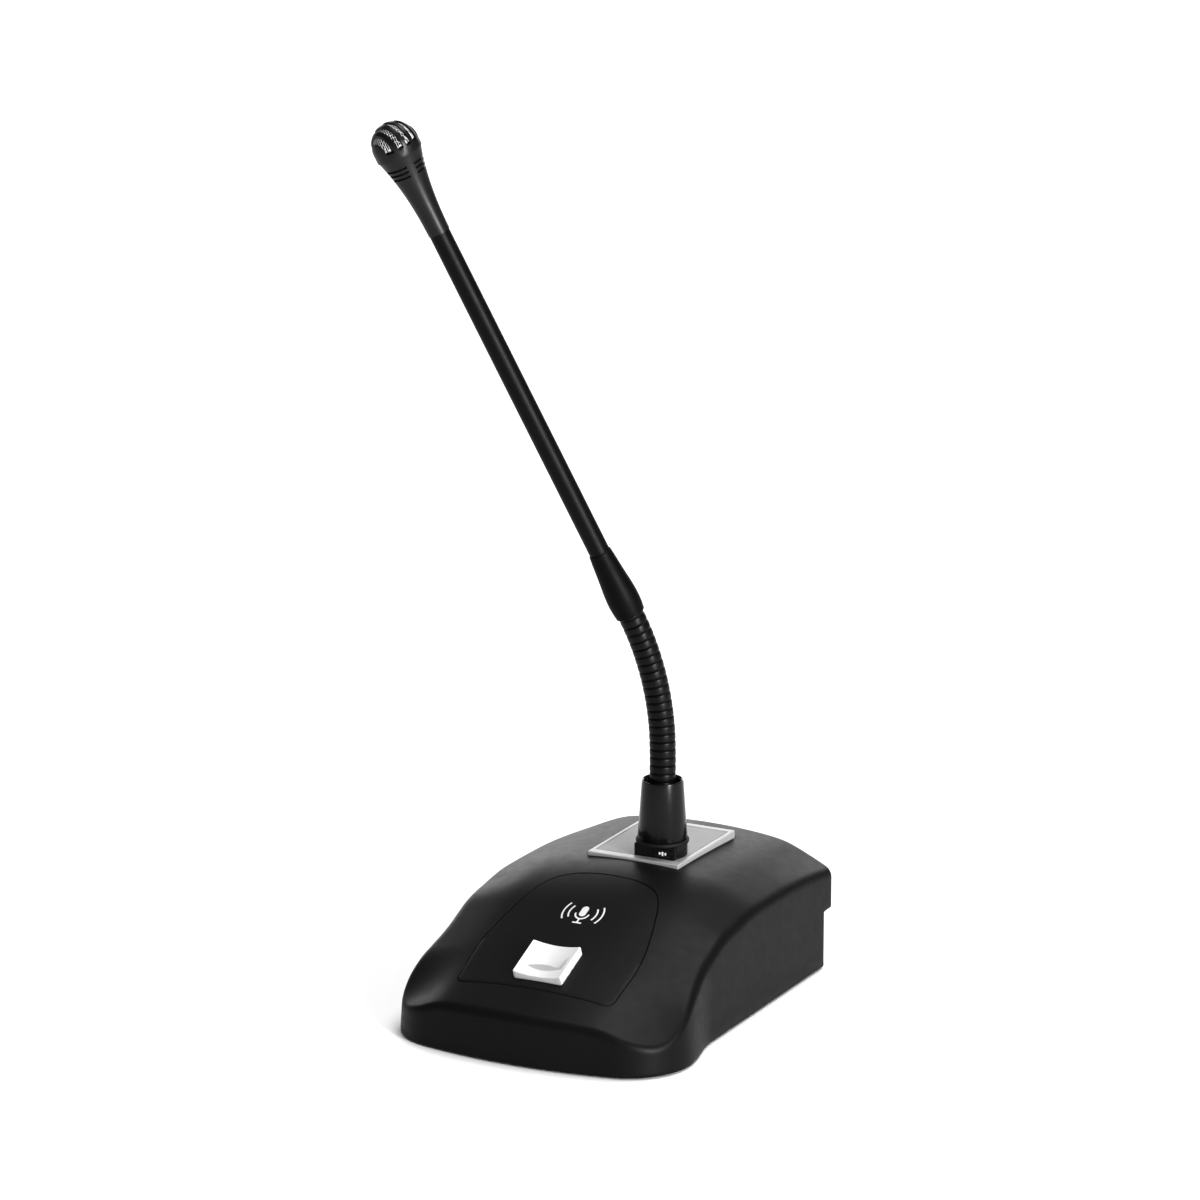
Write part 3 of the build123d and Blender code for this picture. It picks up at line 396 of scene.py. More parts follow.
def surface(name, colour, roughness, metallic=0.0, mottle=0.06, mottle_size=14.0, rough_spread=0.025,
            grain_size=0.35, grain_depth=0.006, stretch=(1, 1, 1), coat=0.0, specular=0.5):
    """A material with slight colour mottling, uneven roughness and a fine grain."""
    material = bpy.data.materials.new(name)
    material.use_nodes = True
    tree = material.node_tree
    shader = tree.nodes["Principled BSDF"]
    shader.inputs["Metallic"].default_value = metallic
    shader.inputs["Specular IOR Level"].default_value = specular
    shader.inputs["Coat Weight"].default_value = coat
    shader.inputs["Coat Roughness"].default_value = 0.08
    coordinates = tree.nodes.new("ShaderNodeTexCoord")

    ramp = tree.nodes.new("ShaderNodeValToRGB")
    ramp.color_ramp.elements[0].position = 0.3
    ramp.color_ramp.elements[1].position = 0.7
    ramp.color_ramp.elements[0].color = [c * (1 - mottle) for c in colour] + [1.0]
    ramp.color_ramp.elements[1].color = [min(1.0, c * (1 + mottle)) for c in colour] + [1.0]
    link(tree, noise(tree, coordinates, mottle_size), "Fac", ramp, "Fac")
    link(tree, ramp, "Color", shader, "Base Color")

    spread = tree.nodes.new("ShaderNodeMapRange")
    spread.inputs["From Min"].default_value = 0.3
    spread.inputs["From Max"].default_value = 0.7
    spread.inputs["To Min"].default_value = roughness - rough_spread
    spread.inputs["To Max"].default_value = roughness + rough_spread
    wear = noise(tree, coordinates, 4.0, stretch=stretch)
    link(tree, wear, "Fac", spread, "Value")
    link(tree, spread, "Result", shader, "Roughness")

    bump = tree.nodes.new("ShaderNodeBump")
    bump.inputs["Strength"].default_value = 1.0
    bump.inputs["Distance"].default_value = grain_depth * MM
    link(tree, noise(tree, coordinates, grain_size, 2.0, stretch), "Fac", bump, "Height")
    link(tree, bump, "Normal", shader, "Normal")
    return material


BLACK = (0.007, 0.007, 0.0072)
cover_plastic = surface("cover_plastic", BLACK, 0.43, grain_size=0.5, grain_depth=0.012, specular=0.15)
panel_plastic = surface("panel_plastic", BLACK, 0.48, grain_size=0.3, grain_depth=0.01, specular=0.15)
button_plastic = surface("button_plastic", (0.66, 0.66, 0.66), 0.3, mottle=0.02, grain_depth=0.003)
# Painted shade: darker grey, also rougher, for the front crescent of the button's finger dish.
crescent_painted_shade = surface("crescent_painted_shade", (0.4, 0.4, 0.4), 0.5, mottle=0.03, grain_depth=0.004)
frame_plastic = surface("frame_plastic", (0.36, 0.36, 0.36), 0.4, mottle=0.03, grain_depth=0.004)
plate_plastic = surface("plate_plastic", (0.26, 0.26, 0.26), 0.5, mottle=0.03, grain_depth=0.006,
                        specular=0.3)
socket_plastic = surface("socket_plastic", (0.007, 0.007, 0.007), 0.4, grain_depth=0.006, specular=0.3)
latch_plastic = surface("latch_plastic", (0.01, 0.01, 0.01), 0.22, grain_depth=0.003)
shell_enamel = surface("shell_enamel", (0.004, 0.004, 0.0042), 0.2, grain_size=1.2, grain_depth=0.002,
                       rough_spread=0.02, coat=0.25, specular=0.2)
ring_rubber = surface("ring_rubber", (0.01, 0.01, 0.01), 0.6, grain_size=0.25, grain_depth=0.015,
                      specular=0.3)
neck_enamel = surface("neck_enamel", (0.003, 0.003, 0.0031), 0.38, grain_size=0.4, grain_depth=0.008,
                      specular=0.22)
sleeve_rubber = surface("sleeve_rubber", (0.002, 0.002, 0.002), 0.5, grain_size=0.25, grain_depth=0.01,
                        specular=0.14)
tube_enamel = surface("tube_enamel", (0.003, 0.003, 0.0031), 0.42, grain_size=0.4, grain_depth=0.008,
                      specular=0.16)
head_enamel = surface("head_enamel", (0.008, 0.008, 0.0082), 0.36, grain_size=0.3, grain_depth=0.008,
                      specular=0.35)
mesh_metal = surface("mesh_metal", (0.8, 0.8, 0.79), 0.3, metallic=0.35, mottle=0.05, grain_depth=0.003)
mark_print = surface("mark_print", (0.62, 0.62, 0.62), 0.5, mottle=0.05, grain_depth=0.004)
latch_print = surface("latch_print", (0.85, 0.85, 0.85), 0.45, mottle=0.03, grain_depth=0.003)
foot_rubber = surface("foot_rubber", (0.02, 0.02, 0.02), 0.75, grain_size=0.3, grain_depth=0.03)
base_steel = surface("base_steel", (0.03, 0.03, 0.031), 0.5, grain_size=0.6, grain_depth=0.03, coat=0.1)
screw_steel = surface("screw_steel", (0.5, 0.5, 0.51), 0.32, metallic=1.0, stretch=(1, 1, 6))
nut_metal = surface("nut_metal", (0.62, 0.62, 0.62), 0.28, metallic=1.0, stretch=(1, 1, 6))
output_metal = surface("output_metal", (0.55, 0.55, 0.56), 0.3, metallic=1.0, stretch=(4, 1, 4))
contact_metal = surface("contact_metal", (0.83, 0.62, 0.28), 0.22, metallic=1.0, mottle=0.05)
pillar_brass = surface("pillar_brass", (0.75, 0.55, 0.24), 0.3, metallic=1.0, stretch=(1, 1, 8))
capsule_metal = surface("capsule_metal", (0.7, 0.7, 0.7), 0.3, metallic=1.0)
spring_steel = surface("spring_steel", (0.55, 0.55, 0.55), 0.28, metallic=1.0)
ballast_iron = surface("ballast_iron", (0.12, 0.12, 0.12), 0.7, mottle=0.3, grain_size=1.5, grain_depth=0.1)
board_laminate = surface("board_laminate", (0.02, 0.12, 0.055), 0.3, mottle=0.3, mottle_size=5.0)
component_black = surface("component_black", (0.03, 0.03, 0.03), 0.5, grain_depth=0.01)
guide_plastic = surface("guide_plastic", (0.07, 0.07, 0.07), 0.5, grain_depth=0.01)
insulator = surface("insulator", (0.02, 0.02, 0.02), 0.42, grain_depth=0.006)
foam = surface("foam", (0.012, 0.012, 0.012), 0.95, grain_size=0.5, grain_depth=0.25)
lead_jacket = surface("lead_jacket", (0.02, 0.02, 0.02), 0.45, grain_depth=0.004)
floor_paper = surface("floor_paper", (0.86, 0.86, 0.86), 0.85, mottle=0.01, mottle_size=300.0,
                      rough_spread=0.03, grain_size=2.0, grain_depth=0.01)

# ---- CAD nodes that keep their shape: materials and softened edges ------------------------------

SLOT_MATERIALS = {
    "base_steel": base_steel, "foot_rubber": foot_rubber, "screw_steel": screw_steel,
    "ballast_iron": ballast_iron, "pillar_brass": pillar_brass, "board_laminate": board_laminate,
    "component_black": component_black, "guide_plastic": guide_plastic, "spring_steel": spring_steel,
    "button_plastic": button_plastic, "frame_plastic": frame_plastic, "plate_plastic": plate_plastic,
    "socket_plastic": socket_plastic, "latch_plastic": latch_plastic, "insulator": insulator,
    "contact_metal": contact_metal, "nut_metal": nut_metal, "shell_enamel": shell_enamel,
    "ring_rubber": ring_rubber, "neck_enamel": neck_enamel, "sleeve_rubber": sleeve_rubber,
    "tube_enamel": tube_enamel, "head_enamel": head_enamel, "mesh_metal": mesh_metal, "foam": foam,
    "capsule_metal": capsule_metal, "output_metal": output_metal, "lead_jacket": lead_jacket,
    "cover_plastic": cover_plastic, "panel_plastic": panel_plastic,
}
EDGE_SOFTENING = {
    "plate_frame": 0.45, "top_plate": 0.2, "socket_housing": 0.45, "latch_tab": 0.25,
    "rear_panel": 0.3, "output_shell": 0.25, "bottom_plate": 0.25, "rubber_feet": 0.6,
    "output_insert": 0.2, "output_pins": 0.25, "grille_cap": 0.22,
}


def dress_cad_nodes():
    """Gives every CAD node its slot's material, and the seen ones slightly rounded edges."""
    for part in record["subparts"]:
        node = frame["nodes"][part["node"]]
        node.data.materials.clear()
        node.data.materials.append(SLOT_MATERIALS[part["material_slot"]])
        if part["node"] in EDGE_SOFTENING:
            weld = node.modifiers.new("weld", "WELD")
            weld.merge_threshold = 0.001 * MM
            bevel = node.modifiers.new("soft_edges", "BEVEL")
            bevel.width = EDGE_SOFTENING[part["node"]] * MM
            bevel.segments = 3
            bevel.limit_method = "ANGLE"
            bevel.angle_limit = radians(38)
            bevel.harden_normals = True


dress_cad_nodes()


# ---- cover -----------------------------------------------------------------------------------

def cover_outline():
    """The base's outline from the front centre to the rear centre, on the right-hand side.

    Each row is: the upper outline's point, the lower outline's point, the direction in which
    the draft moves it, the outward normal, and the radius of the rounded top edge.
    """
    centre_y = FRONT_Y + FRONT_RADIUS
    corner_x = LIP_HALF_WIDTH - LIP_CORNER_RADIUS
    reach = FRONT_RADIUS - LIP_CORNER_RADIUS
    corner_y = centre_y - sqrt(reach**2 - corner_x**2)
    swing = atan(corner_x / (centre_y - corner_y))
    rows = []

    def add(upper, lower, draft, normal, rounding):
        rows.append([np.array(v, float) for v in (upper, lower, draft, normal)] + [rounding])

    front_steps, corner_steps, neck_steps, side_steps, rear_steps = 22, 26, 18, 52, 26
    for i in range(front_steps):
        angle = -pi / 2 + swing * i / front_steps
        out = (cos(angle), sin(angle))
        point = (FRONT_RADIUS * out[0], centre_y + FRONT_RADIUS * out[1])
        add(point, point, (-out[0], -out[1]), out, LIP_ROUNDING)
    for i in range(corner_steps):
        angle = -pi / 2 + swing + (pi / 2 - swing) * i / corner_steps
        out = (cos(angle), sin(angle))
        point = (corner_x + LIP_CORNER_RADIUS * out[0], corner_y + LIP_CORNER_RADIUS * out[1])
        add(point, point, (-out[0], -out[1]), out, LIP_ROUNDING)
    step_in = LIP_HALF_WIDTH - BODY_HALF_WIDTH
    for i in range(neck_steps):
        t = i / neck_steps
        point = (LIP_HALF_WIDTH - step_in * smooth_step(t), corner_y + NECK_LENGTH * t)
        draft = (smooth_step(t) - 1, 0)
        tangent = np.array((-step_in * 6 * t * (1 - t), NECK_LENGTH))
        tangent /= np.hypot(*tangent)
        rounding = LIP_ROUNDING + (SIDE_ROUNDING - LIP_ROUNDING) * smooth_step(t)
        add(point, point, draft, (tangent[1], -tangent[0]), rounding)
    side_low, side_high = corner_y + NECK_LENGTH, REAR_Y - REAR_CORNER_RADIUS
    for i in range(side_steps + 1):
        t = i / side_steps
        point = (BODY_HALF_WIDTH, side_low + (side_high - side_low) * t)
        rounding = SIDE_ROUNDING + (CORNER_ROUNDING - SIDE_ROUNDING) * smooth_step((t - 0.5) / 0.5)
        add(point, point, (0, 0), (1, 0), rounding)
    lower_end = (BODY_HALF_WIDTH, side_high)
    extension = OVERHANG_Y - OVERHANG_CORNER_RADIUS - side_high
    for i in range(1, 5):
        add((BODY_HALF_WIDTH, side_high + extension * i / 4), lower_end, (0, 0), (1, 0), CORNER_ROUNDING)
    centre_x = BODY_HALF_WIDTH - REAR_CORNER_RADIUS
    overhang_centre = np.array((BODY_HALF_WIDTH, OVERHANG_Y)) - OVERHANG_CORNER_RADIUS
    for i in range(1, 9):
        out = np.array((cos(pi / 2 * i / 8), sin(pi / 2 * i / 8)))
        upper = overhang_centre + OVERHANG_CORNER_RADIUS * out
        lower = np.array((centre_x, side_high)) + REAR_CORNER_RADIUS * out
        add(upper, lower, (0, 0), out, CORNER_ROUNDING + (REAR_ROUNDING - CORNER_ROUNDING) * i / 8)
    for i in range(1, rear_steps + 1):
        x = WINDOW_HALF_WIDTH * (1 - (i - 1) / (rear_steps - 1))
        add((min(x, overhang_centre[0]), OVERHANG_Y), (x, REAR_Y), (0, 0), (0, 1), REAR_ROUNDING)
    return rows


def edge_section(upper, draft, normal, rounding):
    """Heights and plan points of the rounded edge between the wall and the top, wall first."""
    z = 40.0
    for _ in range(30):
        edge = upper + draft * DRAFT_SLOPE * z
        z = top_height(*edge)
    lean = max(0.0, -float(draft @ normal)) * DRAFT_SLOPE
    rise = top_slope(*edge, -normal)
    wall = np.array((lean, 1.0)) / hypot(lean, 1.0)
    top = np.array((1.0, rise)) / hypot(1.0, rise)
    turn = acos(float(wall @ top))
    reach = rounding * tan(turn / 2)
    aside = np.array((wall[1], -wall[0]))
    centre = -wall * reach + aside * rounding
    section = []
    for i in range(EDGE_STEPS + 1):
        t = i / EDGE_STEPS
        angle = turn * t
        u, w = centre + rounding * (-cos(angle) * aside + sin(angle) * wall)
        plan = edge - normal * u
        exact = top_height(*plan)
        height = z + w
        if i == EDGE_STEPS:
            height = exact
        else:
            height += t**3 * (exact - (z + rise * u))
        section.append((plan[0], plan[1], height))
    return section


def cover_rings():
    """Rings of points round the cover, from its bottom edge to the end of its rounded top edge.

    A ring is a closed loop that starts at the front centre and runs to the right.
    """
    half = cover_outline()
    columns = []
    for upper, lower, draft, normal, rounding in half:
        section = edge_section(upper, draft, normal, rounding)
        wall_top = section[0][2]
        settled = smooth_step(upper[1] / 25)
        middle = settled * OVERHANG_Z + (1 - settled) * 0.55 * wall_top

        def on_wall(base, z, inset=0.0):
            point = base + draft * (DRAFT_SLOPE * z) - normal * inset
            return (point[0], point[1], z)

        low = COVER_BOTTOM_Z
        column = [on_wall(lower, low, BOTTOM_ROUNDING)]
        column.append(on_wall(lower, low + 0.3 * BOTTOM_ROUNDING, 0.3 * BOTTOM_ROUNDING))
        column.append(on_wall(lower, low + BOTTOM_ROUNDING))
        for i in range(1, 5):
            column.append(on_wall(lower, low + BOTTOM_ROUNDING + (middle - low - BOTTOM_ROUNDING) * i / 4))
        under = len(column)
        lip = 0.5 if upper[1] > lower[1] + 0.1 else 0.0
        column.append(on_wall(upper, middle, lip))
        column.append(on_wall(upper, middle + 0.3 * lip, 0.3 * lip))
        column.append(on_wall(upper, middle + lip))
        for i in range(1, 5):
            column.append(on_wall(upper, middle + lip + (wall_top - middle - lip) * i / 5))
        columns.append(column + section)
    mirrored = [[(-x, y, z) for x, y, z in column] for column in columns[-2:0:-1]]
    columns += mirrored
    return [[column[i] for column in columns] for i in range(len(columns[0]))], under


def panel_loop(gap):
    """The shield-shaped panel's outline in plan, made larger all round by gap."""
    half = PANEL_HALF_WIDTH
    front_y, radius = PANEL_FRONT_Y, PANEL_CORNER_RADIUS
    flank = [(half, front_y + radius), (half + 0.7, -95), (half - 4.3, -68), (half - 13.6, -49.5)]
    side = spline(flank + [(0, PANEL_REAR_Y)], (0, 1), (-1, 0), 14)
    corner = arc((half - radius, front_y + radius), radius, -90, 0, 8)
    right = corner[:-1] + [tuple(p) for p in side]
    left = [(-x, y) for x, y in right[-2::-1]]
    return offset_loop(divided(right + left, 1.6), gap)


def button_hole():
    """Opening round the talk button, in plan."""
    half_length = (BUTTON_HALF_LENGTH + BUTTON_GAP) * cos(atan(FRONT_SLOPE))
    half_width = BUTTON_HALF_WIDTH + BUTTON_GAP
    return rounded_rectangle(half_width, BUTTON_Y - half_length, BUTTON_Y + half_length, 1.0, spacing=1.2)


def chamfered_rim(points, faces, ring, distance, drop, outward):
    """Adds a narrow slope along a loop of points, from the skin down to the seam."""
    loop = [points[i][:2] for i in ring]
    moved = offset_loop(loop, distance if outward else -distance)
    first = len(points)
    points += [(x, y, points[i][2] - drop) for (x, y), i in zip(moved, ring)]
    count = len(ring)
    for i in range(count):
        j = (i + 1) % count
        faces.append((ring[i], ring[j], first + j, first + i))


def build_cover():
    """Moulded upper shell: drafted walls, rounded edges, rear step, openings for panel and frame."""
    rings, under = cover_rings()
    count = len(rings[0])
    points = [point for ring in rings for point in ring]
    faces = []
    for i in range(len(rings) - 1):
        for j in range(count):
            k = (j + 1) % count
            quad = [i * count + j, i * count + k, (i + 1) * count + k, (i + 1) * count + j]
            behind = min(rings[0][j][1], rings[0][k][1]) > REAR_Y - 0.9
            open_window = behind and max(abs(rings[0][j][0]), abs(rings[0][k][0])) < WINDOW_HALF_WIDTH + 0.01
            if i < under - 1 and open_window:
                continue
            faces.append(quad)
    outer = [point[:2] for point in rings[-1]]
    panel_hole = panel_loop(SEAM / 2 + CHAMFER)
    frame_low, frame_high = corner_mm("plate_frame", 0), corner_mm("plate_frame", 1)
    frame_gap = 0.35
    frame_hole = rounded_rectangle(
        frame_high.x + frame_gap, frame_low.y - frame_gap, frame_high.y + frame_gap, 0.6
    )
    top_points, top_faces, loops = fill_between(outer, [panel_hole, frame_hole], top_height)
    for ring in loops[1:]:
        chamfered_rim(top_points, top_faces, ring, CHAMFER, CHAMFER, outward=False)
    base = len(points)
    points += top_points
    faces += [tuple(base + i for i in face) for face in top_faces]
    cover = add_piece("cover_shell", points, faces, cover_plastic)
    thicken(cover, COVER_SKIN, SHARP_SKIN_ANGLE)
    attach(cover, "base")
    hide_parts("top_cover")


def build_panel():
    """Shield-shaped inlay with a fine chamfer, open round the button."""
    def height(x, y):
        return top_height(x, y) - PANEL_SINK

    outer = panel_loop(-SEAM / 2 - CHAMFER)
    points, faces, loops = fill_between(outer, [button_hole()], height)
    chamfered_rim(points, faces, loops[0], CHAMFER, 0.8 * CHAMFER, outward=True)
    chamfered_rim(points, faces, loops[1], 0.15, 0.15, outward=False)
    panel = add_piece("panel_inlay", points, faces, panel_plastic)
    thicken(panel, PANEL_SKIN, SHARP_SKIN_ANGLE)
    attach(panel, "base")
    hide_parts("control_panel")


build_cover()
build_panel()


# ---- talk button -----------------------------------------------------------------------------

def button_place():
    """The button's tilted frame, in millimetres: x right, y up the slope, z outwards."""
    angle = atan(FRONT_SLOPE)
    return Matrix.Translation((0, BUTTON_Y, top_height(0, BUTTON_Y))) @ Matrix.Rotation(angle, 4, "X")


def button_height(x, y):
    """Height of the cap's face: a trough across it, and a finger dish cut into the trough."""
    level = BUTTON_PROUD - TROUGH_DEPTH * (1 - (x / BUTTON_HALF_WIDTH) ** 2)
    if abs(x) >= DISH_HALF_WIDTH or y >= DISH_REAR_Y:
        return level
    arch = 1 - (x / DISH_HALF_WIDTH) ** 2
    front = DISH_TIP_Y - DISH_BULGE * arch
    crease = DISH_TIP_Y + DISH_CREASE_RISE * arch
    if y <= front:
        return level
    if y >= crease:
        return level - DISH_SLOPE * (DISH_REAR_Y - y)
    return level - DISH_SLOPE * (DISH_REAR_Y - crease) * (y - front) / max(crease - front, 1e-6)


def button_rows(x):
    """Positions along the slope that follow the dish's edges at one x."""
    inner = BUTTON_HALF_LENGTH - BUTTON_BEVEL
    arch = max(0.0, 1 - (x / DISH_HALF_WIDTH) ** 2)
    front = DISH_TIP_Y - DISH_BULGE * arch - 0.02
    crease = DISH_TIP_Y + DISH_CREASE_RISE * arch + 0.02
    stops = [(-inner, front, 10), (front, crease, 8), (crease, DISH_REAR_Y, 10), (DISH_REAR_Y, inner, 10)]
    rows = [low + (high - low) * i / steps for low, high, steps in stops for i in range(steps)]
    return rows + [inner]


def paint_crescent_shade(cap, place):
    """Paints shade on the front crescent of the finger dish: a darker grey material, also rougher, stands in for
    the shade on that slope.
    """
    cap.data.materials.append(crescent_painted_shade)
    to_button = place.inverted()
    for face in cap.data.polygons:
        x, y, z = to_button @ (face.center / MM)
        arch = 1 - (x / DISH_HALF_WIDTH) ** 2
        in_crescent = DISH_TIP_Y - DISH_BULGE * arch < y < DISH_TIP_Y + DISH_CREASE_RISE * arch
        if arch > 0 and in_crescent and z > 0:
            face.material_index = 1


def build_button():
    """White cap with a softly rounded rim and straight skirts."""
    inner = BUTTON_HALF_WIDTH - BUTTON_BEVEL
    side = [DISH_HALF_WIDTH + 0.06, DISH_HALF_WIDTH + 0.6, DISH_HALF_WIDTH + 1.2, inner]
    middle = np.linspace(0, DISH_HALF_WIDTH - 0.12, 26)
    right = list(middle) + side
    xs = [-x for x in right[:0:-1]] + right
    points, faces = [], []
    for x in xs:
        points += [(x, y, button_height(x, y)) for y in button_rows(x)]
    columns, rows = len(xs), len(button_rows(0))
    for i in range(columns - 1):
        for j in range(rows - 1):
            a = i * rows + j
            faces.append((a, a + rows, a + rows + 1, a + 1))
    rim = [i * rows for i in range(columns)] + [(columns - 1) * rows + j for j in range(1, rows)]
    rim += [i * rows + rows - 1 for i in range(columns - 2, -1, -1)] + [j for j in range(rows - 2, 0, -1)]
    previous = rim
    turns = [pi / 2 * i / BEVEL_STEPS for i in range(1, BEVEL_STEPS + 1)]
    levels = [(BUTTON_BEVEL * sin(turn), BUTTON_BEVEL * (1 - cos(turn)), False) for turn in turns]
    levels += [(BUTTON_BEVEL, BUTTON_SIDE, False), (BUTTON_BEVEL, 0.0, True)]
    inner_length = BUTTON_HALF_LENGTH - BUTTON_BEVEL
    for out, down, at_skirt in levels:
        first = len(points)
        for i in rim:
            x, y, z = points[i]
            on_side, on_end = abs(abs(x) - inner) < 1e-6, abs(abs(y) - inner_length) < 1e-6
            share = CORNER_SHARE if on_side and on_end else 1.0
            x += share * out * np.sign(x) * on_side
            y += share * out * np.sign(y) * on_end
            points.append((x, y, -BUTTON_SKIRT if at_skirt else z - down))
        ring = list(range(first, len(points)))
        for a in range(len(rim)):
            b = (a + 1) % len(rim)
            faces.append((previous[a], previous[b], ring[b], ring[a]))
        previous = ring
    place = button_place()
    points = [place @ Vector(p) for p in points]
    cap = add_piece("button_cap", points, faces, button_plastic, SHARP_BUTTON_ANGLE)
    thicken(cap, BUTTON_SKIN, SHARP_BUTTON_ANGLE)
    # Painted shade: the dish's front crescent gets the darker grey material.
    paint_crescent_shade(cap, place)
    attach(cap, "button")
    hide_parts("talk_button")


build_button()


# ---- printed marks ---------------------------------------------------------------------------

def flat_bar(loop, place, low, high):
    """Points and faces of a thin raised mark with a given outline."""
    count = len(loop)
    points = [place(x, y, low) for x, y in loop] + [place(x, y, high) for x, y in loop]
    faces = [tuple(range(count, 2 * count)), tuple(range(count - 1, -1, -1))]
    for i in range(count):
        j = (i + 1) % count
        faces.append((i, j, count + j, count + i))
    return points, faces


def stroke(path, width):
    """Outline of a line of constant width along a path."""
    points = np.array(path, float)
    along = np.gradient(points, axis=0)
    along /= np.hypot(along[:, 0], along[:, 1])[:, None]
    aside = np.stack([-along[:, 1], along[:, 0]], axis=1) * width / 2
    return [tuple(p) for p in points - aside] + [tuple(p) for p in (points + aside)[::-1]]


def panel_mark():
    """A plain microphone pictogram with sound arcs, printed on the panel above the button."""
    centre_y, thickness, line = -72.0, 0.05, 0.75

    def on_panel(x, y, lift):
        return (x, centre_y + y, top_height(x, centre_y + y) - PANEL_SINK + lift)

    capsule = arc((0, 3.6), 1.5, 0, 180, 10) + arc((0, 0.9), 1.5, 180, 360, 10)
    yoke = stroke(arc((0, 0.9), 2.9, 180, 360, 20), line)
    post = [(-0.38, -4.0), (0.38, -4.0), (0.38, -2.2), (-0.38, -2.2)]
    foot = [(-2.0, -4.7), (2.0, -4.7), (2.0, -3.95), (-2.0, -3.95)]
    shapes = [capsule, yoke, post, foot]
    for reach in (6.0, 8.6):
        for start in (-32, 148):
            shapes.append(stroke(arc((0, 1.4), reach, start, start + 64, 14), line))
    points, faces = [], []
    for shape in shapes:
        more, sides = flat_bar(shape, on_panel, -0.02, thickness)
        faces += [tuple(len(points) + i for i in side) for side in sides]
        points += more
    mark = add_piece("panel_mark", points, faces, mark_print, sharp=30.0)
    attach(mark, "base")


def latch_mark():
    """Three small raised bars on the latch tab, as a grip."""
    low, high = corner_mm("latch_tab", 0), corner_mm("latch_tab", 1)
    centre_x, centre_z, face_y = (low.x + high.x) / 2, (low.z + high.z) / 2, low.y
    points, faces = [], []
    for i in range(3):
        x = centre_x + 1.3 * (i - 1)
        height = 0.85 if i == 1 else 0.55
        loop = arc((x, centre_z + height - 0.35), 0.42, 0, 180, 6)
        loop += arc((x, centre_z - height + 0.35), 0.42, 180, 360, 6)
        more, sides = flat_bar(loop, lambda u, v, d: (u, face_y - d, v), -0.02, 0.12)
        faces += [tuple(len(points) + k for k in side) for side in sides]
        points += more
    mark = add_piece("latch_bars", points, faces, latch_print, sharp=30.0)
    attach(mark, "latch")


panel_mark()
latch_mark()


# ---- gooseneck -------------------------------------------------------------------------------

LINK_COUNT = 7
pivots = [Vector(j["pos_m"]) / MM for name, j in joints.items() if name.startswith("neck_")]
lean_axis = Vector(joints["neck_1_lean"]["axis"])
stem_axis = lean_axis.cross(Vector(joints[f"neck_{LINK_COUNT + 1}_side"]["axis"])).normalized()
stem_place = Matrix.Translation(pivots[-1]) @ Matrix((
    lean_axis, stem_axis.cross(lean_axis), stem_axis)).transposed().to_4x4()


def neck_centre(s):
    """The neck's centre line at s links above the first pivot, and its direction there."""
    upright = Vector((0, 0, 1))
    length = (pivots[1] - pivots[0]).length
    if s < 0:
        return pivots[0] + upright * s * length, upright
    if s > LINK_COUNT:
        return pivots[-1] + stem_axis * (s - LINK_COUNT) * length, stem_axis
    whole = min(int(s), LINK_COUNT - 1)
    nodes = [pivots[0] - upright * length] + pivots + [pivots[-1] + stem_axis * length]
    p0, p1, p2, p3 = nodes[whole:whole + 4]
    t = s - whole
    point = 0.5 * (2 * p1 + (p2 - p0) * t + (2 * p0 - 5 * p1 + 4 * p2 - p3) * t**2
                   + (3 * p1 - p0 - 3 * p2 + p3) * t**3)
    slope = 0.5 * ((p2 - p0) + 2 * (2 * p0 - 5 * p1 + 4 * p2 - p3) * t
                   + 3 * (3 * p1 - p0 - 3 * p2 + p3) * t**2)
    return point, slope.normalized()


def neck_piece(index, low, high, start, end):
    """A ribbed length of the neck between two link positions, as a closed sleeve."""
    steps = max(2, round((high - low) * RIBS_PER_LINK * STEPS_PER_RIB))
    stations = [low + (high - low) * i / steps for i in range(steps + 1)]
    profile = []
    for s in stations:
        phase = (s * RIBS_PER_LINK + 0.5 * RIBS_PER_LINK) % 1.0
        from_crest = abs(2 * phase - 1)
        profile.append((s, NECK_RADIUS - RIB_DEPTH * from_crest**9 - RIB_CROWN * from_crest**2))
    profile += [(s, NECK_BORE) for s in (high, (low + high) / 2, low)]
    points, faces = [], []
    for i in range(NECK_SEGMENTS):
        turn = 2 * pi * i / NECK_SEGMENTS
        for s, radius in profile:
            centre, direction = neck_centre(s)
            side = direction.cross(lean_axis).normalized()
            points.append(centre + radius * (cos(turn) * lean_axis + sin(turn) * side))
    count = len(profile)
    for i in range(NECK_SEGMENTS):
        a, b = i * count, ((i + 1) % NECK_SEGMENTS) * count
        for j in range(count):
            k = (j + 1) % count
            faces.append((a + j, b + j, b + k, a + k))
    piece = add_piece(f"neck_{index:02d}", points, faces, neck_enamel, sharp=60.0)
    neck_centre(start)[0] * MM
    neck_centre(end)[0] * MM
    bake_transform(piece)
    return piece


def build_neck():
    """One ribbed piece across each joint, from the middle of one link to the middle of the next."""
    nodes = ["gooseneck_root"] + [f"gooseneck_link_{i:02d}" for i in range(1, LINK_COUNT + 1)]
    foot, reach = -0.6, 0.175
    for i in range(LINK_COUNT + 1):
        low = foot if i == 0 else i - 0.5
        high = LINK_COUNT + reach if i == LINK_COUNT else i + 0.5
        start = i - 0.3 if i == LINK_COUNT else i - 0.5
        piece = neck_piece(i, low, high, start, min(high, i + 0.5))
        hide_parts(nodes[i])


build_neck()


# ---- plug shell, sleeve, tube and head ----------------------------------------------------------

